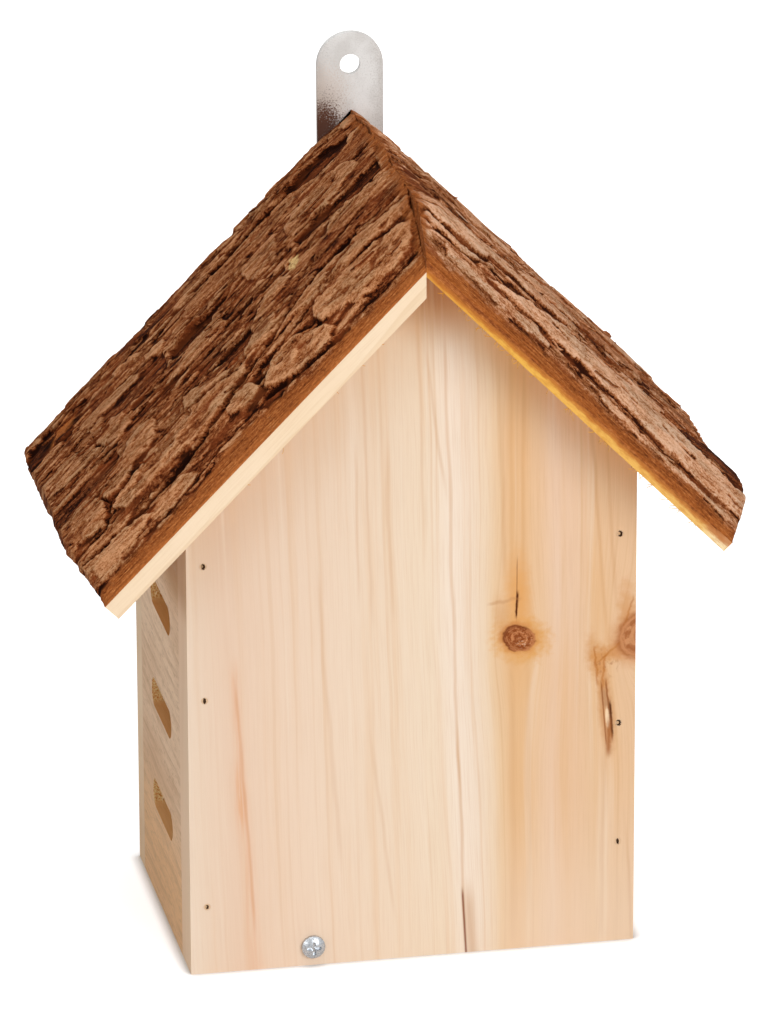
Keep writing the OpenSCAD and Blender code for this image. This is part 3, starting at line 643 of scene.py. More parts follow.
def to_outline(s, u, points):
    """Distance to a closed outline, below zero inside it."""
    far = to_line(s, u, [*points, points[0]])
    inside = np.zeros(s.shape, bool)
    for (s0, u0), (s1, u1) in zip(points, [*points[1:], points[0]]):
        crosses = (u0 > u) != (u1 > u)
        where = (s1 - s0) * (u - u0) / (u1 - u0 if u1 != u0 else 1e-9) + s0
        inside ^= crosses & (s < where)
    return np.where(inside, -far, far)


# Bark: s runs down the slope from over the ridge, u runs back from the roof's front edge, and n
# stands square to the board

LOG_R, RIGHT_RIDGE_N = 350.0, 13.4

# Raised plates that stand out on the bark: corners as (s, u), lift and lightness
PLATES = {
    -1: [
        ([(-9, 72), (-6, 79), (2, 81), (12, 80), (20, 77), (21, 70), (19, 65), (15, 64), (9, 65),
          (5, 63), (0, 63.5), (-4, 66), (-10, 68)], 1.0, 0.78),
        ([(24, 78), (32, 80), (39, 78), (38, 71), (36, 63), (30, 62), (26, 64), (25, 70)], 0.8, 0.72),
        ([(-13, 16), (-8, 18.5), (2, 20), (12, 21), (24, 21.5), (28, 17), (26, 13), (20, 12),
          (14, 9), (8, 8), (0, 8), (-6, 9), (-10, 12)], 1.2, 0.86),
        ([(24, 10), (30, 14), (36, 18), (45, 18), (51, 11.5), (47, 9.5), (42, 8), (34, 7),
          (28, 6.5)], 1.2, 0.88),
        ([(35, 36), (44, 36), (50, 30), (50, 26), (42, 26.5), (37, 30)], 1.0, 0.8),
        ([(56, 29), (58, 32), (64, 35), (70, 40), (73, 39.5), (74, 33.5), (70, 30.5), (62, 27.5),
          (57, 26.5)], 1.0, 0.84),
        ([(52, 25), (58, 27), (66, 29), (76, 30.5), (88, 29.5), (97, 27), (104, 25), (108, 22),
          (105, 18.7), (96, 18.5), (84, 18.3), (72, 18), (62, 20), (55, 22)], 1.1, 0.74),
        ([(84, 46), (89, 48), (95, 46), (99, 40), (104, 38), (110, 36), (108, 29), (105, 27.5),
          (99, 29), (96, 33), (90, 33), (85, 36), (84, 40)], 1.1, 0.8),
        ([(110, 38), (118, 39), (126, 38), (127, 30), (124, 24), (118, 21), (113, 21), (110, 25),
          (109, 31)], 0.9, 0.7),
        ([(-16, 48), (-9, 50), (0, 52), (8, 51), (10, 46), (6, 42), (0, 41), (-8, 42), (-15, 41)],
         0.8, 0.7),
        ([(26, 45), (29, 50), (33, 50.5), (37, 46), (42, 42), (36, 41.5), (30, 42)], 0.9, 0.76),
        ([(100, 10.5), (104, 13), (112, 13.5), (120, 13.5), (127, 14.5), (127, 6), (120, 5.2),
          (112, 6.2), (105, 8)], 1.0, 0.82),
        ([(52, 14), (54, 18), (60, 18.5), (64, 17), (64, 14), (60, 12.8), (54, 12.5)], 0.8, 0.72),
        ([(90, 62), (92, 68), (99, 72), (103, 66), (101, 58), (96, 55), (90, 56)], 0.8, 0.74),
        ([(103, 61), (106, 69), (114, 73), (124, 72), (126, 62), (118, 59), (110, 58)], 0.8, 0.68),
        ([(-17, 26), (-12, 27.5), (-4, 29), (4, 29.5), (14, 30), (22, 30), (30, 28), (36, 25),
          (30, 23.5), (22, 22.5), (12, 22.5), (2, 22), (-8, 20.5), (-14, 20.5)], 0.9, 0.68),
        ([(50, 66), (60, 66), (66, 63), (72, 60), (76, 56), (66, 54), (56, 53), (50, 56)], 0.7, 0.66),
        ([(70, 88), (77, 89), (78, 84), (74, 82.5), (70, 84)], 0.9, 0.88),
        ([(76, 92), (82, 96), (90, 97), (88, 92), (82, 90.5)], 0.7, 0.82),
        ([(12, 94), (30, 94.5), (48, 94), (62, 91), (60, 84), (44, 83), (26, 85), (12, 88)], 0.5, 0.6),
        ([(-19, 103), (-18, 112), (-12, 113), (-9, 110), (-11, 105)], 0.6, 1.3),
        ([(16, 106), (26, 111), (29, 108), (24, 104.5)], 0.8, 0.74),
        ([(33, 106), (40, 111), (44, 108), (39, 104.5)], 0.8, 0.76),
    ],
    1: [
        ([(-13, 14.6), (0, 14.4), (13, 15.8), (18, 19), (12, 21), (-2, 21), (-12, 18.4)], 1.0, 0.86),
        ([(-10, 11), (4, 10.9), (13, 12.4), (12, 13.8), (0, 13.2), (-10, 12.8)], 0.8, 0.78),
        ([(16, 9.4), (30, 9.6), (45, 9.2), (60, 9.6), (75, 9), (92, 7.8), (108, 7), (128, 7),
          (128, 15.4), (110, 17), (97, 18.6), (92, 22), (80, 22.4), (74, 19), (60, 18.6), (48, 18),
          (38, 15.6), (26, 12.6)], 1.1, 0.86),
        ([(0, 8.4), (28, 7.8), (44, 7), (44, 5.4), (20, 4.8), (2, 5)], 0.7, 0.74),
        ([(58, 7.4), (76, 6.6), (96, 5.2), (112, 5.2), (128, 5.6), (128, 4), (100, 3.4), (70, 4.6)],
         0.7, 0.78),
        ([(-10, 22.6), (8, 23), (26, 22), (28, 26), (18, 29.6), (-2, 30), (-12, 27)], 0.9, 0.78),
        ([(20, 24), (34, 29), (52, 32), (60, 29), (48, 24), (34, 21)], 0.9, 0.76),
        ([(36, 46), (48, 58), (72, 62), (90, 56), (90, 46), (70, 43), (48, 42)], 0.8, 0.82),
        ([(74, 28), (92, 27), (94, 22.5), (78, 23)], 0.9, 0.74),
        ([(92, 46), (104, 50), (112, 48), (111, 38), (100, 38)], 0.9, 0.62),
        ([(0, 66), (24, 72), (40, 68), (28, 62), (8, 61)], 1.0, 0.7),
        ([(56, 74), (80, 80), (96, 74), (74, 66)], 1.0, 0.72),
        ([(10, 90), (36, 97), (52, 90), (30, 83)], 0.9, 0.68),
        ([(70, 98), (92, 103), (112, 96), (88, 89)], 1.0, 0.74),
    ],
}

# Deep cracks: points as (s, u), half width and depth
CRACKS = {
    -1: [
        ([(-18.6, 24.8), (-10.7, 26.9), (0.2, 30), (9.3, 31.9), (20.2, 30.9), (31, 28.2), (41, 25.3),
          (50.2, 22.3), (61, 19), (71.8, 16.9), (81, 15.2), (86, 14.4), (99.3, 13.9), (122, 14.6)],
         1.0, 3.6),
        ([(54.8, 26.0), (61, 28.4), (70.2, 31.2), (80.2, 31.6), (89.3, 30.4), (97.7, 28.2),
          (104.3, 26.2), (108, 26.8), (109.4, 31.5)], 0.8, 3.2),
        ([(108, 25.9), (111, 21.5), (114.3, 19.4), (121.8, 19.2), (127.5, 20.4)], 0.8, 3.0),
        ([(22, 5.2), (31, 5.8), (38.5, 6.5), (41.8, 7.3), (46.8, 8.6), (53, 10)], 0.8, 3.0),
        ([(-15.7, 19.2), (-10.7, 20), (0.2, 21.4), (9.3, 21.9)], 0.4, 1.6),
        ([(24.3, 22.1), (31, 20.9), (39.3, 19.9), (47.7, 19)], 0.4, 1.8),
        ([(76, 7.2), (79.3, 5.9), (86.8, 5.4), (89.3, 6.6)], 0.35, 1.4),
        ([(60, 9.8), (72.7, 9), (81, 7.8), (92, 6.6), (112, 4.6), (127, 2.8)], 0.35, 1.4),
        ([(-12, 8.4), (-3, 6.0), (8, 6.2), (20, 6.6)], 0.5, 1.8),
        ([(38, 78.5), (50, 77.5), (62, 77), (73, 79)], 0.6, 2.2),
        ([(-4, 41.2), (10, 39.4), (24, 39.8), (42, 39.2)], 0.5, 1.8),
        ([(66, 52.5), (78, 51.8), (92, 50.4), (104, 50.2)], 0.6, 2.2),
        ([(104, 39.4), (112, 39.2), (120, 40), (128, 40.4)], 0.7, 2.6),
        ([(-16, 101), (6, 99), (24, 96.5), (40, 96), (56, 98)], 0.8, 2.6),
        ([(104, 80), (112, 78), (120, 78)], 0.6, 2.2),
        ([(68, 47.6), (80, 47.9), (92, 47.4)], 0.5, 2.0),
    ],
    1: [
        ([(45, 8.5), (55, 8.2), (62, 8.6), (70, 8.9), (75, 7.7), (85, 7.5), (95, 6.3), (103, 5.8),
          (114, 6.2)], 0.22, 1.2),
        ([(-12, 10), (0, 10.2), (10, 11.2), (16, 14.4)], 0.4, 1.8),
        ([(-8, 13.8), (4, 14), (13, 15), (17, 17.6)], 0.35, 1.8),
        ([(96, 18.8), (108, 17.4), (128, 15.8)], 0.6, 2.4),
        ([(16, 18.6), (30, 19.4), (46, 19.6), (56, 19)], 0.4, 1.8),
        ([(43, 13.8), (48, 13.4), (55, 13)], 0.4, 1.4),
        ([(50, 16.8), (54, 17.6), (58, 16.6), (64, 15.4)], 0.35, 1.4),
        ([(72, 14), (79, 12.8)], 0.35, 1.2),
        ([(90, 13.4), (98, 12.6), (104, 12.8)], 0.3, 1.2),
        ([(119, 10.6), (125, 10.4)], 0.4, 1.2),
        ([(-10, 26), (10, 27), (22, 31), (40, 33.6), (58, 32.6), (74, 30)], 0.9, 3.2),
        ([(0, 40), (30, 40.5), (60, 39.4), (90, 38), (124, 36)], 1.0, 3.2),
        ([(-8, 55), (24, 57), (56, 58.4), (90, 56), (124, 53)], 1.0, 3.0),
    ],
}

# Hollows where the outer bark has come away: corners as (s, u), drop and lightness
HOLLOWS = {
    -1: [
        ([(-14, 62), (0, 62.4), (12, 63.6), (20, 63), (20, 57), (8, 55), (0, 52.6), (-8, 51),
          (-14, 53)], 1.5, 0.2),
        ([(-12, 101), (0, 102), (12, 100), (30, 99), (48, 99), (49, 95.5), (34, 94.8), (14, 95),
          (4, 90), (-8, 91)], 1.6, 0.16),
        ([(40, 76.5), (50, 77), (70, 76), (71, 68), (66, 66.4), (54, 66.6), (49, 71)], 1.8, 0.1),
        ([(45, 40), (58, 40.5), (61, 37), (52, 35), (45, 36)], 1.2, 0.22),
        ([(106, 102), (112, 99), (116, 92), (126, 90), (127, 102), (118, 108)], 1.5, 0.16),
        ([(80, 66), (88, 66.5), (89, 61), (80, 60.6)], 1.2, 0.18),
        ([(39, 56), (52, 56.4), (52, 52.6), (41, 52.4)], 1.0, 0.2),
        ([(26, 55.6), (37, 55), (36, 51.6), (27, 51.4)], 1.0, 0.2),
        ([(2, 34), (20, 34.4), (22, 31), (4, 31)], 0.9, 0.24),
        ([(72, 80), (98, 80), (99, 68), (86, 67), (76, 62), (72, 70)], 0.7, 0.36),
        ([(99, 50), (127, 50), (127, 41), (106, 40.6), (99, 43)], 0.8, 0.34),
        ([(84, 33), (98, 32), (101, 28.6), (88, 30.4)], 0.8, 0.26),
    ],
    1: [
        ([(98, 31), (112, 32), (130, 32), (130, 16.6), (110, 18.2), (99, 20)], 0.1, 0.1),
        ([(117, 33.4), (131, 33.4), (131, 84), (118, 84)], 1.7, 0.3),
        ([(0, 46), (20, 46), (22, 38), (17, 30.6), (1, 30.6)], 1.6, 0.04),
        ([(18, 24), (50, 23.4), (50, 20.4), (20, 20)], 0.5, 0.3),
        ([(68, 37), (90, 36), (90, 32), (70, 32)], 1.0, 0.24),
        ([(28, 41), (60, 41), (60, 37), (30, 37)], 1.2, 0.34),
        ([(44, 84), (68, 86), (70, 81), (48, 78)], 1.6, 0.2),
        ([(98, 90), (118, 88), (116, 80), (100, 82)], 1.6, 0.2),
    ],
}

# A chip of bare pale wood in the left bark: corners as (s, u)
CHIP = [(21.4, 48), (21, 53), (23.6, 53.6), (25.4, 50.6), (25, 47.4), (23, 46.8)]


def smooth_crown(side, s, u):
    """The bark's height before any relief, as the CAD part has it."""
    p = SIDES[side]
    middle = ROOF_D * 0.53
    arc = p["crown"] - (u - middle) ** 2 / (2 * LOG_R)
    edge = p["board"] + 1.0
    at_wane = p["crown"] - (p["wane"] - middle) ** 2 / (2 * LOG_R)
    rise = np.sin(np.pi / 2 * np.clip(u / p["wane"], 0, 1))
    n = np.where(u < p["wane"], edge + (at_wane - edge) * rise, arc)
    if side > 0:
        at_ridge = RIGHT_RIDGE_N - 2.4 * step(u, 76, ROOF_D)
        from_ridge = s + at_ridge * p["tan"]
        n = np.minimum(n, at_ridge + from_ridge * math.tan(math.radians(15)))
    return n


GRID_S = np.linspace(-21, 129, 418)
GRID_U = np.linspace(0, ROOF_D, 332)
BASE_LEVEL = -1.1


def swell(side, s, u):
    """How far the bark as a whole stands off the crown: full at the left side's back edge and the
    right side's lower end, and sunk over the right side's upper half."""
    if side < 0:
        return 1.9 * step(u, 80, 104) * step(s, -17, 5)
    sunk = (1.6 - 0.75 * step(s, 36, 56)) * step(s, -10, 3) * step(u, 24, 44)
    full = 1.2 * step(s, 102, 114) * step(u, 12, 20) * (1 - step(u, 31, 34))
    full = full + 1.2 * (1 - step(s, -9, 3)) * step(u, 66, 96)
    return full - sunk


def paint(under, over, mask):
    return under * (1 - mask) + over * mask


def paint_scales(ws, wu, level, tone, count, size, lifts, rng):
    """Paints long thin scales of bark over one another, the lowest first, on the grid."""
    at_s, at_u = rng.uniform(-24, 131, count), rng.uniform(-2, 116, count)
    half_s = np.exp(rng.normal(math.log(size), 0.5, count))
    half_u = np.clip(half_s * rng.uniform(0.1, 0.3, count), 0.45, 3.2)
    height = np.sort(rng.uniform(*lifts, count))
    own = rng.normal(0.48, 0.12, count)
    tilt_s, tilt_u = rng.normal(0, 0.22, count), rng.normal(0, 0.16, count)
    turn = rng.normal(0, 0.07, count)
    for i in range(count):
        i0, i1 = np.searchsorted(GRID_S, (at_s[i] - half_s[i] - 3.4, at_s[i] + half_s[i] + 3.4))
        j0, j1 = np.searchsorted(GRID_U, (at_u[i] - half_u[i] - 3.4, at_u[i] + half_u[i] + 3.4))
        box = (slice(i0, i1), slice(j0, j1))
        ds = (ws[box] - at_s[i]) / half_s[i]
        du = (wu[box] - at_u[i] - turn[i] * (ws[box] - at_s[i])) / half_u[i]
        inside = (1 - (np.abs(ds) ** 2.5 + np.abs(du) ** 2.5) ** 0.4) * half_u[i]
        mask = step(inside, 0.0, 0.3)
        top = height[i] + tilt_s[i] * ds + tilt_u[i] * du
        # Painted shade just outside each scale's edge, and a painted highlight along its rim
        shade = step(inside, -0.7, -0.05) * (1 - mask)
        rim = (1 - step(inside, 0.3, 0.75)) * 0.1
        level[box] = paint(level[box], top, mask)
        tone[box] = paint(tone[box] - 0.1 * shade, own[i] + rim, mask)


def bark_fields(side):
    """The bark's height, and the lightness, rust and bare wood of its colour, on the grid."""
    seed = SIDES[side]["seed"]
    rng = np.random.default_rng(seed + 300)
    s, u = np.meshgrid(GRID_S, GRID_U, indexing="ij")
    ws = s + 2.2 * layers(s / 17, u / 6, seed) + 0.6 * layers(s / 2.4, u / 1.3, seed + 9)
    wu = u + 1.5 * layers(s / 20, u / 8, seed + 20) + 0.5 * layers(s / 3.0, u / 1.5, seed + 29)
    es = s + 0.9 * layers(s / 6, u / 4, seed + 31) + 0.55 * layers(s / 1.6, u / 1.3, seed + 33)
    eu = u + 0.6 * layers(s / 7, u / 4, seed + 35) + 0.42 * layers(s / 1.7, u / 1.4, seed + 37)
    strings = layers(ws / 11, wu / 0.66, seed + 80, 3)
    grit = layers(s / 0.8, u / 0.7, seed + 90, 2)
    pocks = step(layers(s / 1.5, u / 0.8, seed + 92, 2), 0.5, 0.75)

    level = BASE_LEVEL - 0.7 + 0.3 * layers(s / 10, u / 4, seed + 60)
    tone = 0.26 + 0.12 * layers(s / 9, u / 3, seed + 61)
    paint_scales(ws, wu, level, tone, 900, 7.5, (-0.75 + BASE_LEVEL, 0.3 + BASE_LEVEL), rng)
    paint_scales(ws, wu, level, tone, 1100, 3.2, (-0.55 + BASE_LEVEL, 0.4 + BASE_LEVEL), rng)
    level = level + strings * 0.24
    tone = tone + strings * 0.17

    for corners, down, dark in HOLLOWS[side]:
        m = step(-to_outline(0.5 * (ws + es), 0.5 * (wu + eu), corners), -0.35, 0.5)
        level = paint(level, BASE_LEVEL - down * 1.05 + (level - BASE_LEVEL) * 0.55, m)
        tone = paint(tone, dark * 0.75 + (tone - 0.43) * 0.5 + strings * 0.05, m)
    # Here and there a plate lies level with what is round it, and takes on its tone
    merged = (0.5 if side < 0 else 0.15) * step(layers(s / 7, u / 3, seed + 75), 0.0, 0.3)
    sound = 0.0 if side < 0 else 0.3
    can_chip = step(layers(s / 4, u / 3, seed + 70), -0.2, 0.05)
    can_peel = step(layers(s / 7, u / 2.2, seed + 74, 3), 0.14 + sound, 0.2 + sound)
    can_crack = step(layers(s / 9, u / 1.6, seed + 71, 3), 0.5 + sound, 0.62 + sound)
    rough_top = 0.16 * layers(s / 9, u / 4, seed + 72) + 0.1 * strings
    mottled = 0.14 * layers(s / 9, u / 1.6, seed + 73) - 0.14 * pocks
    for corners, up, own in PLATES[side]:
        inside = -to_outline(es, eu, corners)
        over = step(inside, -0.1, 0.25)
        m = over * (1 - merged)
        chipped = (1 - step(inside, 0.8, 1.2)) * can_chip
        peeled = can_peel * step(inside, 0.8, 1.2)
        crack = can_crack * step(inside, 0.6, 1.6)
        shade = step(inside, -0.9, -0.1) * (1 - over) * (1 - merged)
        top = BASE_LEVEL + up + rough_top - 0.45 * chipped - 0.3 * crack - 0.25 * peeled
        level = paint(level, top, m)
        own_tone = (0.64 + 0.35 * (own - 0.7) + mottled
                    + 0.05 * chipped - 0.07 * peeled - 0.2 * crack)
        tone = paint(tone - 0.16 * shade, own_tone, m)
    if side > 0:
        # Darker, stringy bark behind the long front plate
        stringy = np.maximum(step(s, 50, 64), 1 - step(s, 12, 24))
        stringy = stringy * step(u, 23, 31) * (1 - step(u, 64, 74))
        tone = tone - stringy * (0.2 + 0.16 * strings)
    for points, half, depth in CRACKS[side]:
        far = to_line(0.6 * s + 0.4 * es, 0.35 * u + 0.65 * eu, points)
        width = half * (0.8 + 0.5 * value_noise(s / 6, u / 6, seed + 95))
        m = 1 - step(far, width * 0.5, width * 1.15)
        level = paint(level, np.minimum(level, BASE_LEVEL - 0.55 * depth), m)
        # The cracks are painted near black: their own dark colour deepened with painted shade
        tone = paint(tone, 0.03, 0.85 * (1 - step(far, width * 0.5, width * 1.5)))

    # Bare inner bark along the front edge, fibrous and rusty
    hem = (4.4 if side < 0 else 2.8) + 1.1 * layers(s / 12, 0 * s + 3, seed + 97)
    hem = hem + 0.8 * layers(s / 2.2, 0 * s + 7, seed + 99)
    if side < 0:
        hem = hem + 2.6 * step(s, 38, 52) * (1 - step(s, 66, 84))
    rust = 1 - step(u, hem - 0.9, hem + 0.8)
    level = paint(level, BASE_LEVEL - 0.3 + 0.14 * layers(s / 14, u / 0.5, seed + 98, 3), rust)
    level = level + grit * 0.1 + swell(side, s, u)
    if side < 0:
        # A spot of bare inner bark near the back edge, with a dark ring round it
        from_spot = np.hypot((es - 112) / 7.5, (eu - 97) / 5.0)
        bare = 1 - step(from_spot, 0.5, 1.0)
        rust = np.maximum(rust, 0.9 * bare)
        tone = tone - 0.3 * step(from_spot, 0.7, 1.0) * (1 - step(from_spot, 1.2, 1.6))

    n = smooth_crown(side, s, u) + level * (0.35 + 0.65 * step(u, 1, 12))
    n = np.clip(n, SIDES[side]["board"] + 0.5 + 0.1 * grit, SIDES[side]["crown"] + 0.5)

    # Where a nail is driven in, a small pit
    for at_s, at_u in itertools.product(ROOF_NAIL_S, ROOF_NAIL_U):
        pit = 1 - step(np.hypot(s - at_s, u - at_u), 1.0, 1.4)
        n = paint(n, np.minimum(n, ROOF_NAIL_TOP), pit)
    chip = step(-to_outline(es, eu, CHIP), -0.2, 0.3) if side < 0 else np.zeros(s.shape)
    # Painted shade in its furrows, fine ones and wide ones, and a painted highlight where the bark
    # stands up between them
    furrow_shade_and_ridge_highlight = (np.clip((n - blur(n, 4)) * 0.4, -0.22, 0.12)
              + np.clip((n - blur(n, 13)) * 0.1, -0.14, 0.08))
    return n, tone + furrow_shade_and_ridge_highlight + 0.05 * grit, rust, chip


BARK_FIELDS = {side: bark_fields(side) for side in (-1, 1)}


def bark_relief(side, s, u):
    """Height and colour of a side's bark at any places, read off the grid."""
    across = (np.clip(s, GRID_S[0], GRID_S[-1]) - GRID_S[0]) / (GRID_S[1] - GRID_S[0])
    back = np.clip(u, 0, ROOF_D) / (GRID_U[1] - GRID_U[0])
    i = np.minimum(across.astype(int), len(GRID_S) - 2)
    j = np.minimum(back.astype(int), len(GRID_U) - 2)
    fi, fj = across - i, back - j
    return [(f[i, j] * (1 - fi) + f[i + 1, j] * fi) * (1 - fj)
            + (f[i, j + 1] * (1 - fi) + f[i + 1, j + 1] * fi) * fj for f in BARK_FIELDS[side]]


def bark_grid(side, steps_s, steps_u):
    """The bark's top as arrays of s, u and n, and its colours. Its upper end is cut plumb at the
    ridge, and its lower end is ragged."""
    p = SIDES[side]
    u = np.linspace(0, ROOF_D, steps_u)
    start = -p["crown"] * p["tan"] * np.ones(steps_u)
    for _ in range(6):
        start = -bark_relief(side, start, u)[0] * p["tan"]
    start = start + 0.06 + (0.22 + 0.2 * value_noise(u / 3, 0 * u, p["seed"] + 5)) * step(u, 3, 16)
    ragged = 0.5 + 0.8 * layers(u / 9, 0 * u + 1, p["seed"] + 6)
    ragged = ragged + 0.5 * layers(u / 2, 0 * u + 9, p["seed"] + 7)
    full = 0.0 if side < 0 else 0.8 * (1 - step(u, 31, 35))
    end = p["slope"] - np.clip(ragged, 0.05, 2.2) * step(u, 0, 6) * (1 - full)
    t = np.linspace(0, 1, steps_s)[:, None]
    s = start[None, :] * (1 - t) + end[None, :] * t
    u = np.broadcast_to(u[None, :], s.shape)
    n, light, rust, chip = bark_relief(side, s, u)

    # The lower end is rounded off, and stays inside the part's own width
    to_end = end[None, :] - s
    round_off = p["chamfer"] * 0.35 + 0.8
    n = n - np.where(to_end < round_off, (round_off - to_end) ** 2 / (1.6 * round_off), 0)
    widest = p["widest"] - 0.05
    n = np.minimum(n, (widest - s * p["cos"]) / p["sin"])
    n = np.maximum(n, p["board"] + 0.3)
    at_ridge = 1 - step(s - start[None, :] + 1.6 * layers(s / 3, u / 2, 66), 0.6, 4.0)
    rust = np.maximum(rust, 0.75 * at_ridge)
    return s, u, n, light, rust, chip


def place(side, s, u, n):
    """Slope coordinates as a place in the part's frame."""
    c, k = SIDES[side]["cos"], SIDES[side]["sin"]
    z = SIDES[side]["ridge_z"] - s * k + n * c
    return np.stack([side * (s * c + n * k), u + ROOF_FRONT, z], -1)


def make_object(name, points, faces, material, smooth=True, attributes=None):
    """A mesh object from points in millimetres, riding on the house."""
    mesh = bpy.data.meshes.new(name)
    mesh.from_pydata((np.asarray(points) * MM).tolist(), [], faces)
    for key, values in (attributes or {}).items():
        layer = mesh.attributes.new(key, "FLOAT", "POINT")
        layer.data.foreach_set("value", np.asarray(values, np.float32))
    if smooth:
        mesh.polygons.foreach_set("use_smooth", [True] * len(mesh.polygons))
    mesh.materials.append(material)
    obj = bpy.data.objects.new(name, mesh)
    bpy.context.scene.collection.objects.link(obj)
    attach(obj, "house")
    return obj


def tube(faces, base, rings_n, corners):
    """Adds the faces of a closed tube, whose rings of points start at base."""
    for i in range(rings_n - 1):
        for k in range(corners):
            a, b = base + i * corners + k, base + i * corners + (k + 1) % corners
            faces.append([a, b, b + corners, a + corners])
    last = base + (rings_n - 1) * corners
    faces.append([base + k for k in reversed(range(corners))])
    faces.append([last + k for k in range(corners)])


def face_outwards(obj):
    work = bmesh.new()
    work.from_mesh(obj.data)
    bmesh.ops.recalc_face_normals(work, faces=work.faces)
    work.to_mesh(obj.data)
    work.free()


def bark_object(side, material):
    """One side's bark as a closed solid: its relief on top, plain walls, and a flat underside."""
    steps_s, steps_u = ((400, 330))
    s, u, n, light, rust, chip = bark_grid(side, steps_s, steps_u)
    top = place(side, s, u, n).reshape(-1, 3)
    index = np.arange(steps_s * steps_u).reshape(steps_s, steps_u)
    faces = np.stack([index[:-1, :-1], index[1:, :-1], index[1:, 1:], index[:-1, 1:]], -1)
    faces = faces.reshape(-1, 4).tolist()

    rim = np.concatenate([index[:-1, 0], index[-1, :-1], index[:0:-1, -1], index[0, :0:-1]])
    p = SIDES[side]
    board = p["board"]
    rim_s, rim_u = s.reshape(-1)[rim], u.reshape(-1)[rim]
    at_ridge = np.isin(rim, index[0, :])
    low_s = np.where(at_ridge, -board * p["tan"] + 0.06, rim_s)
    low = place(side, low_s, rim_u, np.full(len(rim), board + 0.02))
    ring = range(len(top), len(top) + len(rim))
    middle = len(top) + len(rim)
    for i in range(len(rim)):
        after = (i + 1) % len(rim)
        faces.append([int(rim[i]), int(rim[after]), ring[after], ring[i]])
        faces.append([ring[i], ring[after], middle])
    points = np.concatenate([top, low, low.mean(0)[None]])

    def carried(field, under):
        return np.concatenate([field.reshape(-1), under, [0.0]])

    obj = make_object(f"{p['name']}_bark", points, faces, material, attributes={
        "light": carried(light, light.reshape(-1)[rim] * 0.8),
        "rust": carried(rust, np.maximum(rust.reshape(-1)[rim], at_ridge)),
        "chip": carried(chip, np.zeros(len(rim)))})
    on_top = len(obj.data.polygons) - 2 * len(rim)
    obj.data.polygons.foreach_set("use_smooth", np.arange(len(obj.data.polygons)) < on_top)
    face_outwards(obj)
    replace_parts(obj, f"{p['name']}_roof_bark")


def bark_finish(side):
    """Furrowed bark: near black in its cracks, red-brown layers, and pale corky plates."""
    f = Finish("bark_left" if side < 0 else "bark_right")
    s, n = on_slope(f, side)
    y = f.y
    light, rust, chip = f.attribute("light"), f.attribute("rust"), f.attribute("chip")
    speck = f.noise(s / 0.9, y / 0.5, n / 0.6, detail=3, rough=0.75)
    streak = f.noise(s / 10, y / 0.7, 3.0, detail=4, rough=0.65)
    patch = f.noise(s / 22, y / 12, 5.0, detail=2)
    layer_edge = (f.noise(s / 14, y / 2.4, 9.0, detail=3, rough=0.65) - 0.5).abs()
    layer_edge = f.ease(layer_edge, 0.0, 0.014, 1.0, 0.0)
    # A sawn end shows the bark's thin layers, which lie along the slope
    sawn = f.ease(f.ny, 0.9, 0.98)
    layered = f.noise(s / 7, n / 0.6, 31.0, detail=4, rough=0.7) * 0.9 - 0.08
    light = sawn * (layered - light) + light
    tone = light + (speck - 0.5) * 1.3 + (streak - 0.5) * 0.8 * (1 - sawn) + (patch - 0.5) * 0.25
    pits = f.ease(f.noise(s / 0.9, y / 0.5, 17.0, detail=2), 0.4, 0.34)
    glints = f.ease(f.noise(s / 1.3, y / 0.42, 23.0, detail=2), 0.62, 0.7)
    tone = tone - layer_edge * 0.17 - pits * 0.2 + glints * 0.2
    if side < 0:
        stops = [(0.02, rgb(30, 6, 0)), (0.17, rgb(72, 27, 5)), (0.34, rgb(120, 58, 26)),
                 (0.5, rgb(154, 90, 50)), (0.66, rgb(179, 117, 74)), (0.9, rgb(212, 154, 110))]
    else:
        stops = [(0.02, rgb(48, 16, 4)), (0.17, rgb(94, 44, 17)), (0.34, rgb(144, 80, 42)),
                 (0.5, rgb(178, 113, 72)), (0.66, rgb(206, 147, 106)), (0.9, rgb(232, 184, 150))]
    f.colour = f.ramp(tone, stops)
    redder = f.ease(f.noise(s / 14, y / 3, 8.0, detail=3), 0.46, 0.66) * f.ease(light, 0.7, 0.4)
    f.coat(redder * 0.5, rgb(138, 66, 30))
    greyer = f.ease(f.noise(s / 16, y / 5, 14.0, detail=3), 0.44, 0.62)
    f.coat(greyer * 0.8, rgb(236, 248, 255), "MULTIPLY")
    inner = inner_bark(f, s, y, n)
    board = SIDES[side]["board"]
    if side < 0:
        spot = f.ease(s, 100, 106) * f.ease(y, 8, 18) * f.ease(speck, 0.4, 0.6, 0.3, 0.8)
        glow = f.ease(n + speck * 2, board + 0.8, board + 3.4, 0.5, 0.0) + spot
        inner = f.mix(glow, inner, rgb(206, 122, 62))
    else:
        glow = f.ease(n + speck * 2, board + 0.8, board + 3.4, 0.3, 0.0)
        inner = f.mix(glow, inner, rgb(192, 108, 46))
    f.coat(rust, inner)
    f.coat(chip, f.mix(f.ease(speck, 0.42, 0.58), rgb(244, 210, 146), rgb(184, 132, 78)))
    height = speck + streak * 0.6 - layer_edge * 0.3
    return f.done(0.9, height, 0.45, specular=0.06)


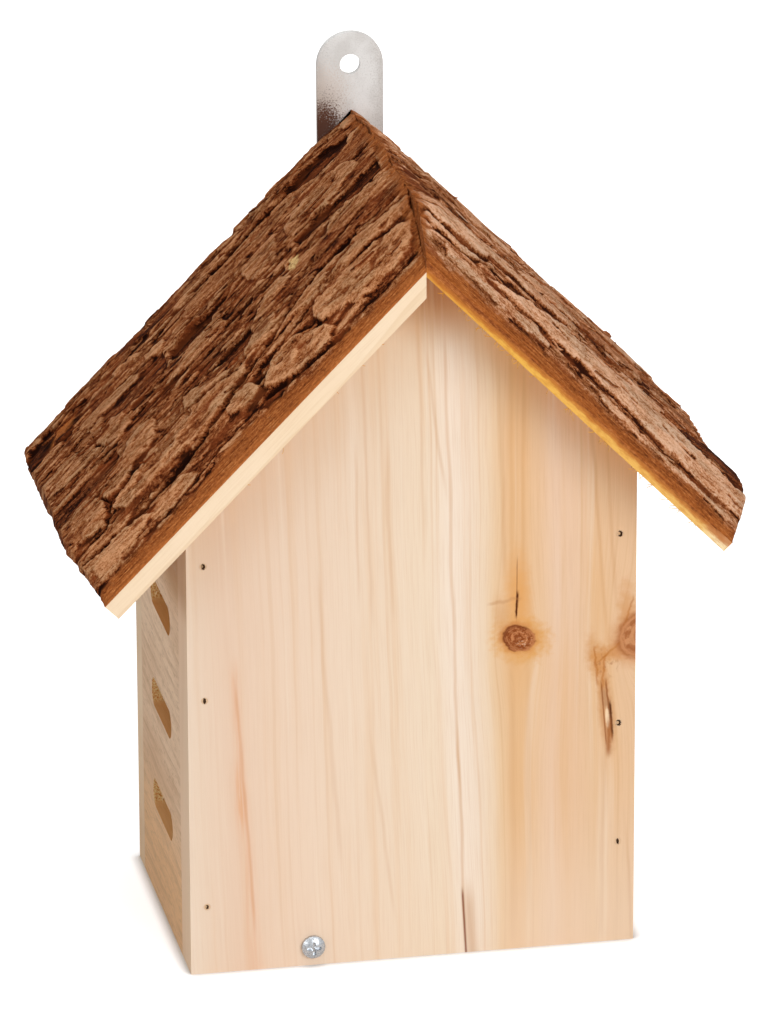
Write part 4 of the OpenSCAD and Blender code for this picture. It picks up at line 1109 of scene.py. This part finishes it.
def bark_flakes(side, material, count, seed):
    """Small chips that curl off the bark, lying down the slope."""
    rng = np.random.default_rng(seed)
    p = SIDES[side]
    points, faces, light = [], [], []
    for _ in range(count):
        s0, u0 = rng.uniform(-6, p["slope"] - 12), rng.uniform(9, ROOF_D - 6)
        length, width = rng.uniform(4, 12), rng.uniform(0.6, 1.5)
        turn, curl, tone = rng.normal(0, 0.1), rng.uniform(0.1, 0.7), rng.uniform(0.2, 0.6)
        t = np.linspace(0, 1, 9)
        half = width / 2 * np.sin(np.pi * (0.12 + 0.86 * t)) ** 0.7 * rng.uniform(0.7, 1.15, 9)
        cs = s0 + (t - 0.5) * length
        cu = u0 + (t - 0.5) * length * math.tan(turn)
        ground = bark_relief(side, cs, cu)[0]
        rise = np.maximum(ground, np.median(ground) - 0.3) + 0.1 + curl * (2 * t - 1) ** 2 * (t > 0.5)
        rise = np.minimum(rise, p["crown"] + 0.6)
        base = len(points)
        for i in range(9):
            for part, dn in ((-1, 0.1), (0, 0.42), (1, 0.1), (1, -0.16), (0, -0.1), (-1, -0.16)):
                points.append(place(side, cs[i], cu[i] + part * half[i], rise[i] + dn))
                light.append(tone)
        tube(faces, base, 9, 6)
    zero = np.zeros(len(points))
    obj = make_object(f"{p['name']}_bark_flakes", points, faces, material, smooth=False,
                      attributes={"light": light, "rust": zero, "chip": zero})
    face_outwards(obj)


# Thin strands: wood wool, slot fuzz, splinters and hairs


def ribbon(points, faces, path, across, width, thick):
    """Adds a flat closed ribbon along path. across is the direction of its width, which tapers to
    nothing at both ends."""
    across = np.broadcast_to(np.asarray(across, float), path.shape)
    along = np.gradient(path, axis=0)
    along /= np.linalg.norm(along, axis=1)[:, None] + 1e-9
    across = across - (across * along).sum(1)[:, None] * along
    across /= np.linalg.norm(across, axis=1)[:, None] + 1e-9
    up = np.cross(along, across)
    count = len(path)
    taper = np.sin(np.pi * np.linspace(0.06, 0.94, count)) ** 0.35
    base = len(points)
    for i in range(count):
        w, h = across[i] * width / 2 * taper[i], up[i] * thick / 2
        points.extend([path[i] - w - h, path[i] + w - h, path[i] + w + h, path[i] - w + h])
    tube(faces, base, count, 4)


WOOL_X, WOOL_Y, WOOL_Z = (-50.0, 50.0), (-31.2, 36.2), (12.3, 118.0)
WOOL_CROWN, STEP_X, STEP_Z = 8.0, -23.5, 33.2


def into_wool(p, margin, clear):
    """Brings places into the space that the wood wool fills. clear is how far they stay off the
    step that leaves room for the floor's short side."""
    p = p.copy()
    p[:, 0] = np.clip(p[:, 0], WOOL_X[0] + margin, WOOL_X[1] - margin)
    p[:, 1] = np.clip(p[:, 1], WOOL_Y[0] + margin, WOOL_Y[1] - margin)
    crown = WOOL_Z[1] + WOOL_CROWN * np.sin(np.pi * (WOOL_X[1] - p[:, 0]) / 100)
    p[:, 2] = np.clip(p[:, 2], WOOL_Z[0] + margin, crown - margin)
    up, right = STEP_Z + clear - p[:, 2], STEP_X + clear - p[:, 0]
    cut = (up > 0) & (right > 0)
    p[:, 2] = np.where(cut & (up < right), STEP_Z + clear, p[:, 2])
    p[:, 0] = np.where(cut & (up >= right), STEP_X + clear, p[:, 0])
    return p


def wool_core(material):
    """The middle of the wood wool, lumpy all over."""
    work = bmesh.new()
    right, left = WOOL_X[1] - 3, WOOL_X[0] + 3
    outline = [(STEP_X + 3, WOOL_Z[0] + 2.5), (right, WOOL_Z[0] + 2.5)]
    for i in range(9):
        x = right + (left - right) * i / 8
        outline.append((x, WOOL_Z[1] - 3 + (WOOL_CROWN - 1) * math.sin(math.pi * i / 8)))
    outline += [(left, STEP_Z + 3), (STEP_X + 3, STEP_Z + 3)]
    ring = [work.verts.new((x, WOOL_Y[0] + 2.5, z)) for x, z in outline]
    face = work.faces.new(ring)
    grown = bmesh.ops.extrude_face_region(work, geom=[face])["geom"]
    for v in grown:
        if isinstance(v, bmesh.types.BMVert):
            v.co.y = WOOL_Y[1] - 2.5
    bmesh.ops.recalc_face_normals(work, faces=work.faces)
    bmesh.ops.triangulate(work, faces=work.faces)
    for _ in range(4):
        long = [e for e in work.edges if e.calc_length() > 5]
        bmesh.ops.subdivide_edges(work, edges=long, cuts=1)
        bmesh.ops.triangulate(work, faces=[q for q in work.faces if len(q.verts) > 3])
    work.normal_update()
    work.verts.ensure_lookup_table()
    co = np.array([v.co for v in work.verts])
    normal = np.array([v.normal for v in work.verts])
    lump = layers(co[:, 0] / 7 + co[:, 1] / 9, co[:, 2] / 7 - co[:, 1] / 8, 210)
    co = into_wool(co + normal * (lump * 2.2 - 1.0)[:, None], 0.8, 1.2)
    work.verts.index_update()
    faces = [[v.index for v in q.verts] for q in work.faces]
    work.free()
    face_outwards(make_object("wood_wool_core", co, faces, material))


def wool_curls(material):
    """Curly shavings over the core."""
    rng = np.random.default_rng(305)
    points, faces = [], []
    t = np.linspace(0, 1, 46)
    for _ in range(460):
        side = rng.integers(0, 6)
        start = rng.uniform((WOOL_X[0], WOOL_Y[0], WOOL_Z[0]), (WOOL_X[1], WOOL_Y[1], WOOL_Z[1] + 6))
        axis = side // 2
        span = (WOOL_X, WOOL_Y, (WOOL_Z[0], WOOL_Z[1] + 8))[axis]
        start[axis] = span[side % 2] + (3.5 if side % 2 == 0 else -3.5)
        run = rng.normal(0, 1, 3)
        run[axis] *= 0.15
        run /= np.linalg.norm(run)
        out = np.zeros(3)
        out[axis] = 1
        sideways = np.cross(run, out)
        sideways /= np.linalg.norm(sideways)
        length, radius, turns = rng.uniform(18, 46), rng.uniform(1.6, 4.2), rng.uniform(1.2, 4.5)
        angle = 2 * np.pi * turns * t + rng.uniform(0, 6)
        bend = rng.uniform(-12, 12)
        path = (start + run * (t[:, None] - 0.5) * length + sideways * (bend * t**2)[:, None]
                + out * (radius * np.cos(angle))[:, None]
                + sideways * (radius * np.sin(angle))[:, None])
        path = into_wool(path, 0.9, 2.8)
        step_len = np.linalg.norm(np.diff(path, axis=0), axis=1)
        if step_len.max() > 4:
            # It would run straight through the room for the floor's short side
            continue
        if step_len.min() < 0.02:
            path = path + rng.normal(0, 0.05, path.shape)
        ribbon(points, faces, path, run, rng.uniform(1.1, 2.4), 0.24)
    points = into_wool(np.array(points), 0.05, 0.3)
    return make_object("wood_wool", points, faces, material, smooth=False)


def wool_finish():
    f = Finish("wood_wool")
    patch = f.noise(f.x / 12, f.y / 12, f.z / 12, detail=3)
    fine = f.noise(f.x / 0.8, f.y / 0.8, f.z / 0.8, detail=2)
    f.base(f.ease(patch, 0.35, 0.65), rgb(255, 236, 192), rgb(250, 208, 146))
    f.coat(f.ease(fine, 0.45, 0.75, 0.0, 0.35), rgb(220, 160, 98))
    return f.done(0.7, fine, 0.1, specular=0.1)


def slot_fuzz(material):
    """Fibres that the cutter left standing in the slots' ends, and the splinter in the lowest."""
    rng = np.random.default_rng(77)
    points, faces = [], []
    t = np.linspace(0, 1, 12)
    in_cut = SLOT_END_R - 0.05
    for side, z0, end in itertools.product((-1, 1), SLOT_HEIGHTS, (-1, 1)):
        for _ in range(14 if (z0 > 60 and end > 0) else 8):
            turn = rng.uniform(-1.25, 1.25)
            up, back = math.sin(turn), end * math.cos(turn)
            root = np.array([side * rng.uniform(58.2, 66.0),
                             SLOT_MIDDLE_Y + end * SLOT_HALF_RUN + in_cut * back, z0 + in_cut * up])
            drift = np.array([side * rng.uniform(-0.8, 0.4), 0, rng.uniform(-1, 1)])
            length = rng.uniform(0.8, 2.6)
            curl = rng.uniform(0.2, 0.7)
            path = (root - np.array([0, back, up]) * (length * np.sin(t * 1.7))[:, None]
                    + drift * (t**1.5 * length * 0.7)[:, None])
            path[:, 2] += curl * np.sin(t * 7)
            path[:, 0] = side * np.clip(np.abs(path[:, 0]), 57.4, 66.8)
            ribbon(points, faces, path, (side, 0.3, 0.2), rng.uniform(0.25, 0.6), 0.1)
    splinter = np.array([-66.6, -15.6, 37.4]) + np.outer(t, [0.6, 6.4, -2.4])
    splinter[:, 2] += 0.8 * np.sin(t * 3.1)
    ribbon(points, faces, splinter, (0.2, 0.3, 1.0), 0.9, 0.35)
    return make_object("slot_fibres", points, faces, material, smooth=False)


def roof_hairs(material):
    """Hairs of torn wood along the lower front edges of the roof boards."""
    rng = np.random.default_rng(91)
    points, faces = [], []
    t = np.linspace(0, 1, 10)
    for side, count in ((1, 70), (-1, 5)):
        for _ in range(count):
            s0 = rng.uniform(6, SIDES[side]["slope"] - 6)
            length = rng.uniform(0.8, 2.6)
            lean = rng.uniform(-1.2, 1.2)
            s = s0 + lean * t * length
            n = 0.25 - length * 0.75 * np.sin(t * 1.5) + rng.uniform(-0.3, 0.3) * t**2
            u = 0.3 + 0.5 * rng.uniform(0, 1) * t
            path = place(side, s, u, n)
            ribbon(points, faces, path, (0, 1, 0.2), rng.uniform(0.12, 0.26), 0.1)
    return make_object("roof_edge_hairs", points, faces, material, smooth=False)


# Studio


class Tree:
    """A node tree without its first nodes, filled by naming each node's inputs."""

    def __init__(self, owner):
        owner.use_nodes = True
        self.tree = owner.node_tree
        self.tree.nodes.clear()

    def add(self, kind, output, inputs=(), **settings):
        """A new node with its inputs set or linked, and one of its outputs as a Val."""
        node = self.tree.nodes.new("ShaderNode" + kind)
        for key, value in settings.items():
            setattr(node, key, value)
        for key, value in dict(inputs).items():
            plug(self.tree, node.inputs[key], value)
        return Val(self.tree, node.outputs[output]) if output is not None else None


def studio_floor():
    """A white floor that keeps the object's shadow."""
    mesh = bpy.data.meshes.new("studio_floor")
    r = 9.0
    mesh.from_pydata([(-r, -r, 0), (r, -r, 0), (r, r, 0), (-r, r, 0)], [], [(0, 1, 2, 3)])
    floor = bpy.data.objects.new("studio_floor", mesh)
    bpy.context.scene.collection.objects.link(floor)
    material = bpy.data.materials.new("studio_white")
    tree = Tree(material)
    # The floor is lit up to white for the camera only: more so away from the object, and not in
    # the few millimetres where something stands on it
    place_m = tree.add("TexCoord", "Object")
    far = tree.add("VectorMath", "Value", {0: place_m}, operation="LENGTH")
    rise = tree.add("MapRange", "Result", {"Value": far, "From Min": 0.16, "From Max": 0.9,
                                           "To Min": 0.6, "To Max": 1.0})
    open_sky = tree.add("AmbientOcclusion", "AO", {"Distance": 0.004})
    contact = tree.add("MapRange", "Result", {"Value": open_sky, "From Min": 0.5, "From Max": 1.0,
                                              "To Min": -0.15, "To Max": 1.0})
    glow = tree.add("Emission", 0, {"Strength": tree.add("LightPath", "Is Camera Ray") * rise * contact})
    matte = tree.add("BsdfDiffuse", 0, {"Color": (0.86, 0.86, 0.86)})
    both = tree.add("AddShader", 0, {0: matte, 1: glow})
    tree.add("OutputMaterial", None, {"Surface": both})
    mesh.materials.append(material)


def studio_world():
    """A dim world that looks white to the camera and in gloss."""
    world = bpy.data.worlds.new("studio_world")
    bpy.context.scene.world = world
    tree = Tree(world)
    camera_ray, glossy_ray, glass_ray = (
        tree.add("LightPath", f"Is {kind} Ray") for kind in ("Camera", "Glossy", "Transmission"))
    seen = camera_ray.math("MAXIMUM", camera_ray.math("MAXIMUM", camera_ray, glossy_ray), glass_ray)
    dim, bright = (tree.add("Background", 0, {"Strength": strength}) for strength in (0.42, 1.0))
    choose = tree.add("MixShader", 0, {0: seen, 1: dim, 2: bright})
    tree.add("OutputWorld", None, {"Surface": choose})


def lamps():
    """A soft key at the right, a top light and a weak fill, all in metres."""
    target = Vector((0, 0, 0.12))
    rows = (("key", (0.8, -1.95, 1.1), 1.3, 24.4), ("top", (-0.35, -0.25, 2.1), 1.6, 18.5),
            ("fill", (-1.9, -1.3, 0.9), 1.4, 6.6))
    for name, spot, size, watts in rows:
        data = bpy.data.lights.new(name, "AREA")
        data.shape, data.size, data.energy = "SQUARE", size, watts
        lamp = bpy.data.objects.new(name, data)
        lamp.location = spot
        lamp.rotation_euler = (target - Vector(spot)).to_track_quat("-Z", "Y").to_euler()
        bpy.context.scene.collection.objects.link(lamp)


def camera():
    """The camera, fitted to the photograph's edges of the box, the roof and the hanger."""
    yaw, pitch, roll = 0.193708, 0.349974, -0.0034618
    ahead = Vector((math.sin(yaw) * math.cos(pitch), math.cos(yaw) * math.cos(pitch),
                    -math.sin(pitch)))
    right = Vector((math.cos(yaw), -math.sin(yaw), 0))
    up = right.cross(ahead)
    right, up = (math.cos(roll) * right + math.sin(roll) * up,
                 math.cos(roll) * up - math.sin(roll) * right)
    data = bpy.data.cameras.new("camera")
    data.sensor_width, data.lens = 36.0, 264.48
    data.clip_start, data.clip_end = 0.05, 50
    cam = bpy.data.objects.new("camera", data)
    turn = Matrix((right, up, -ahead)).transposed().to_4x4()
    cam.matrix_world = Matrix.Translation(Vector((-0.398264, -2.033753, 0.882707))) @ turn
    bpy.context.scene.collection.objects.link(cam)
    bpy.context.scene.camera = cam


# Putting it together


def dress(node, material):
    mesh = NODES[node].data
    mesh.materials.clear()
    mesh.materials.append(material)


camera()
studio_floor()
studio_world()
lamps()

dress("front_panel", front_finish())
dress("back_panel", pine("pine_back", "zxy", (12, 70), 5.5, rgb(234, 204, 168), rgb(220, 180, 136)))
dress("floor_board", pine("pine_floor", "xyz", (-8, -45), 4.6, rgb(238, 208, 174), rgb(224, 184, 140)))
dress("hanger_plate", steel_finish())
dress("left_roof_board", roof_board_finish(-1))
dress("right_roof_board", roof_board_finish(1))
for finish, nodes in (
        (wall_finish, ("left_wall", "right_wall")),
        (zinc_finish, ("hanger_screws", "front_pivot_screw", "back_pivot_screw")),
        (nail_finish, ("front_nails", "back_nails", "left_roof_nails", "right_roof_nails"))):
    material = finish()
    for node in nodes:
        dress(node, material)

for side, seed in ((-1, 401), (1, 402)):
    bark = bark_finish(side)
    bark_object(side, bark)
    bark_flakes(side, bark, 45, seed)

wool = wool_finish()
wool_core(wool)
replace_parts(wool_curls(wool), "wood_wool")
slot_fuzz(wool)
roof_hairs(NODES["right_roof_board"].data.materials[0])

scene = bpy.context.scene
scene.view_settings.view_transform = "Standard"
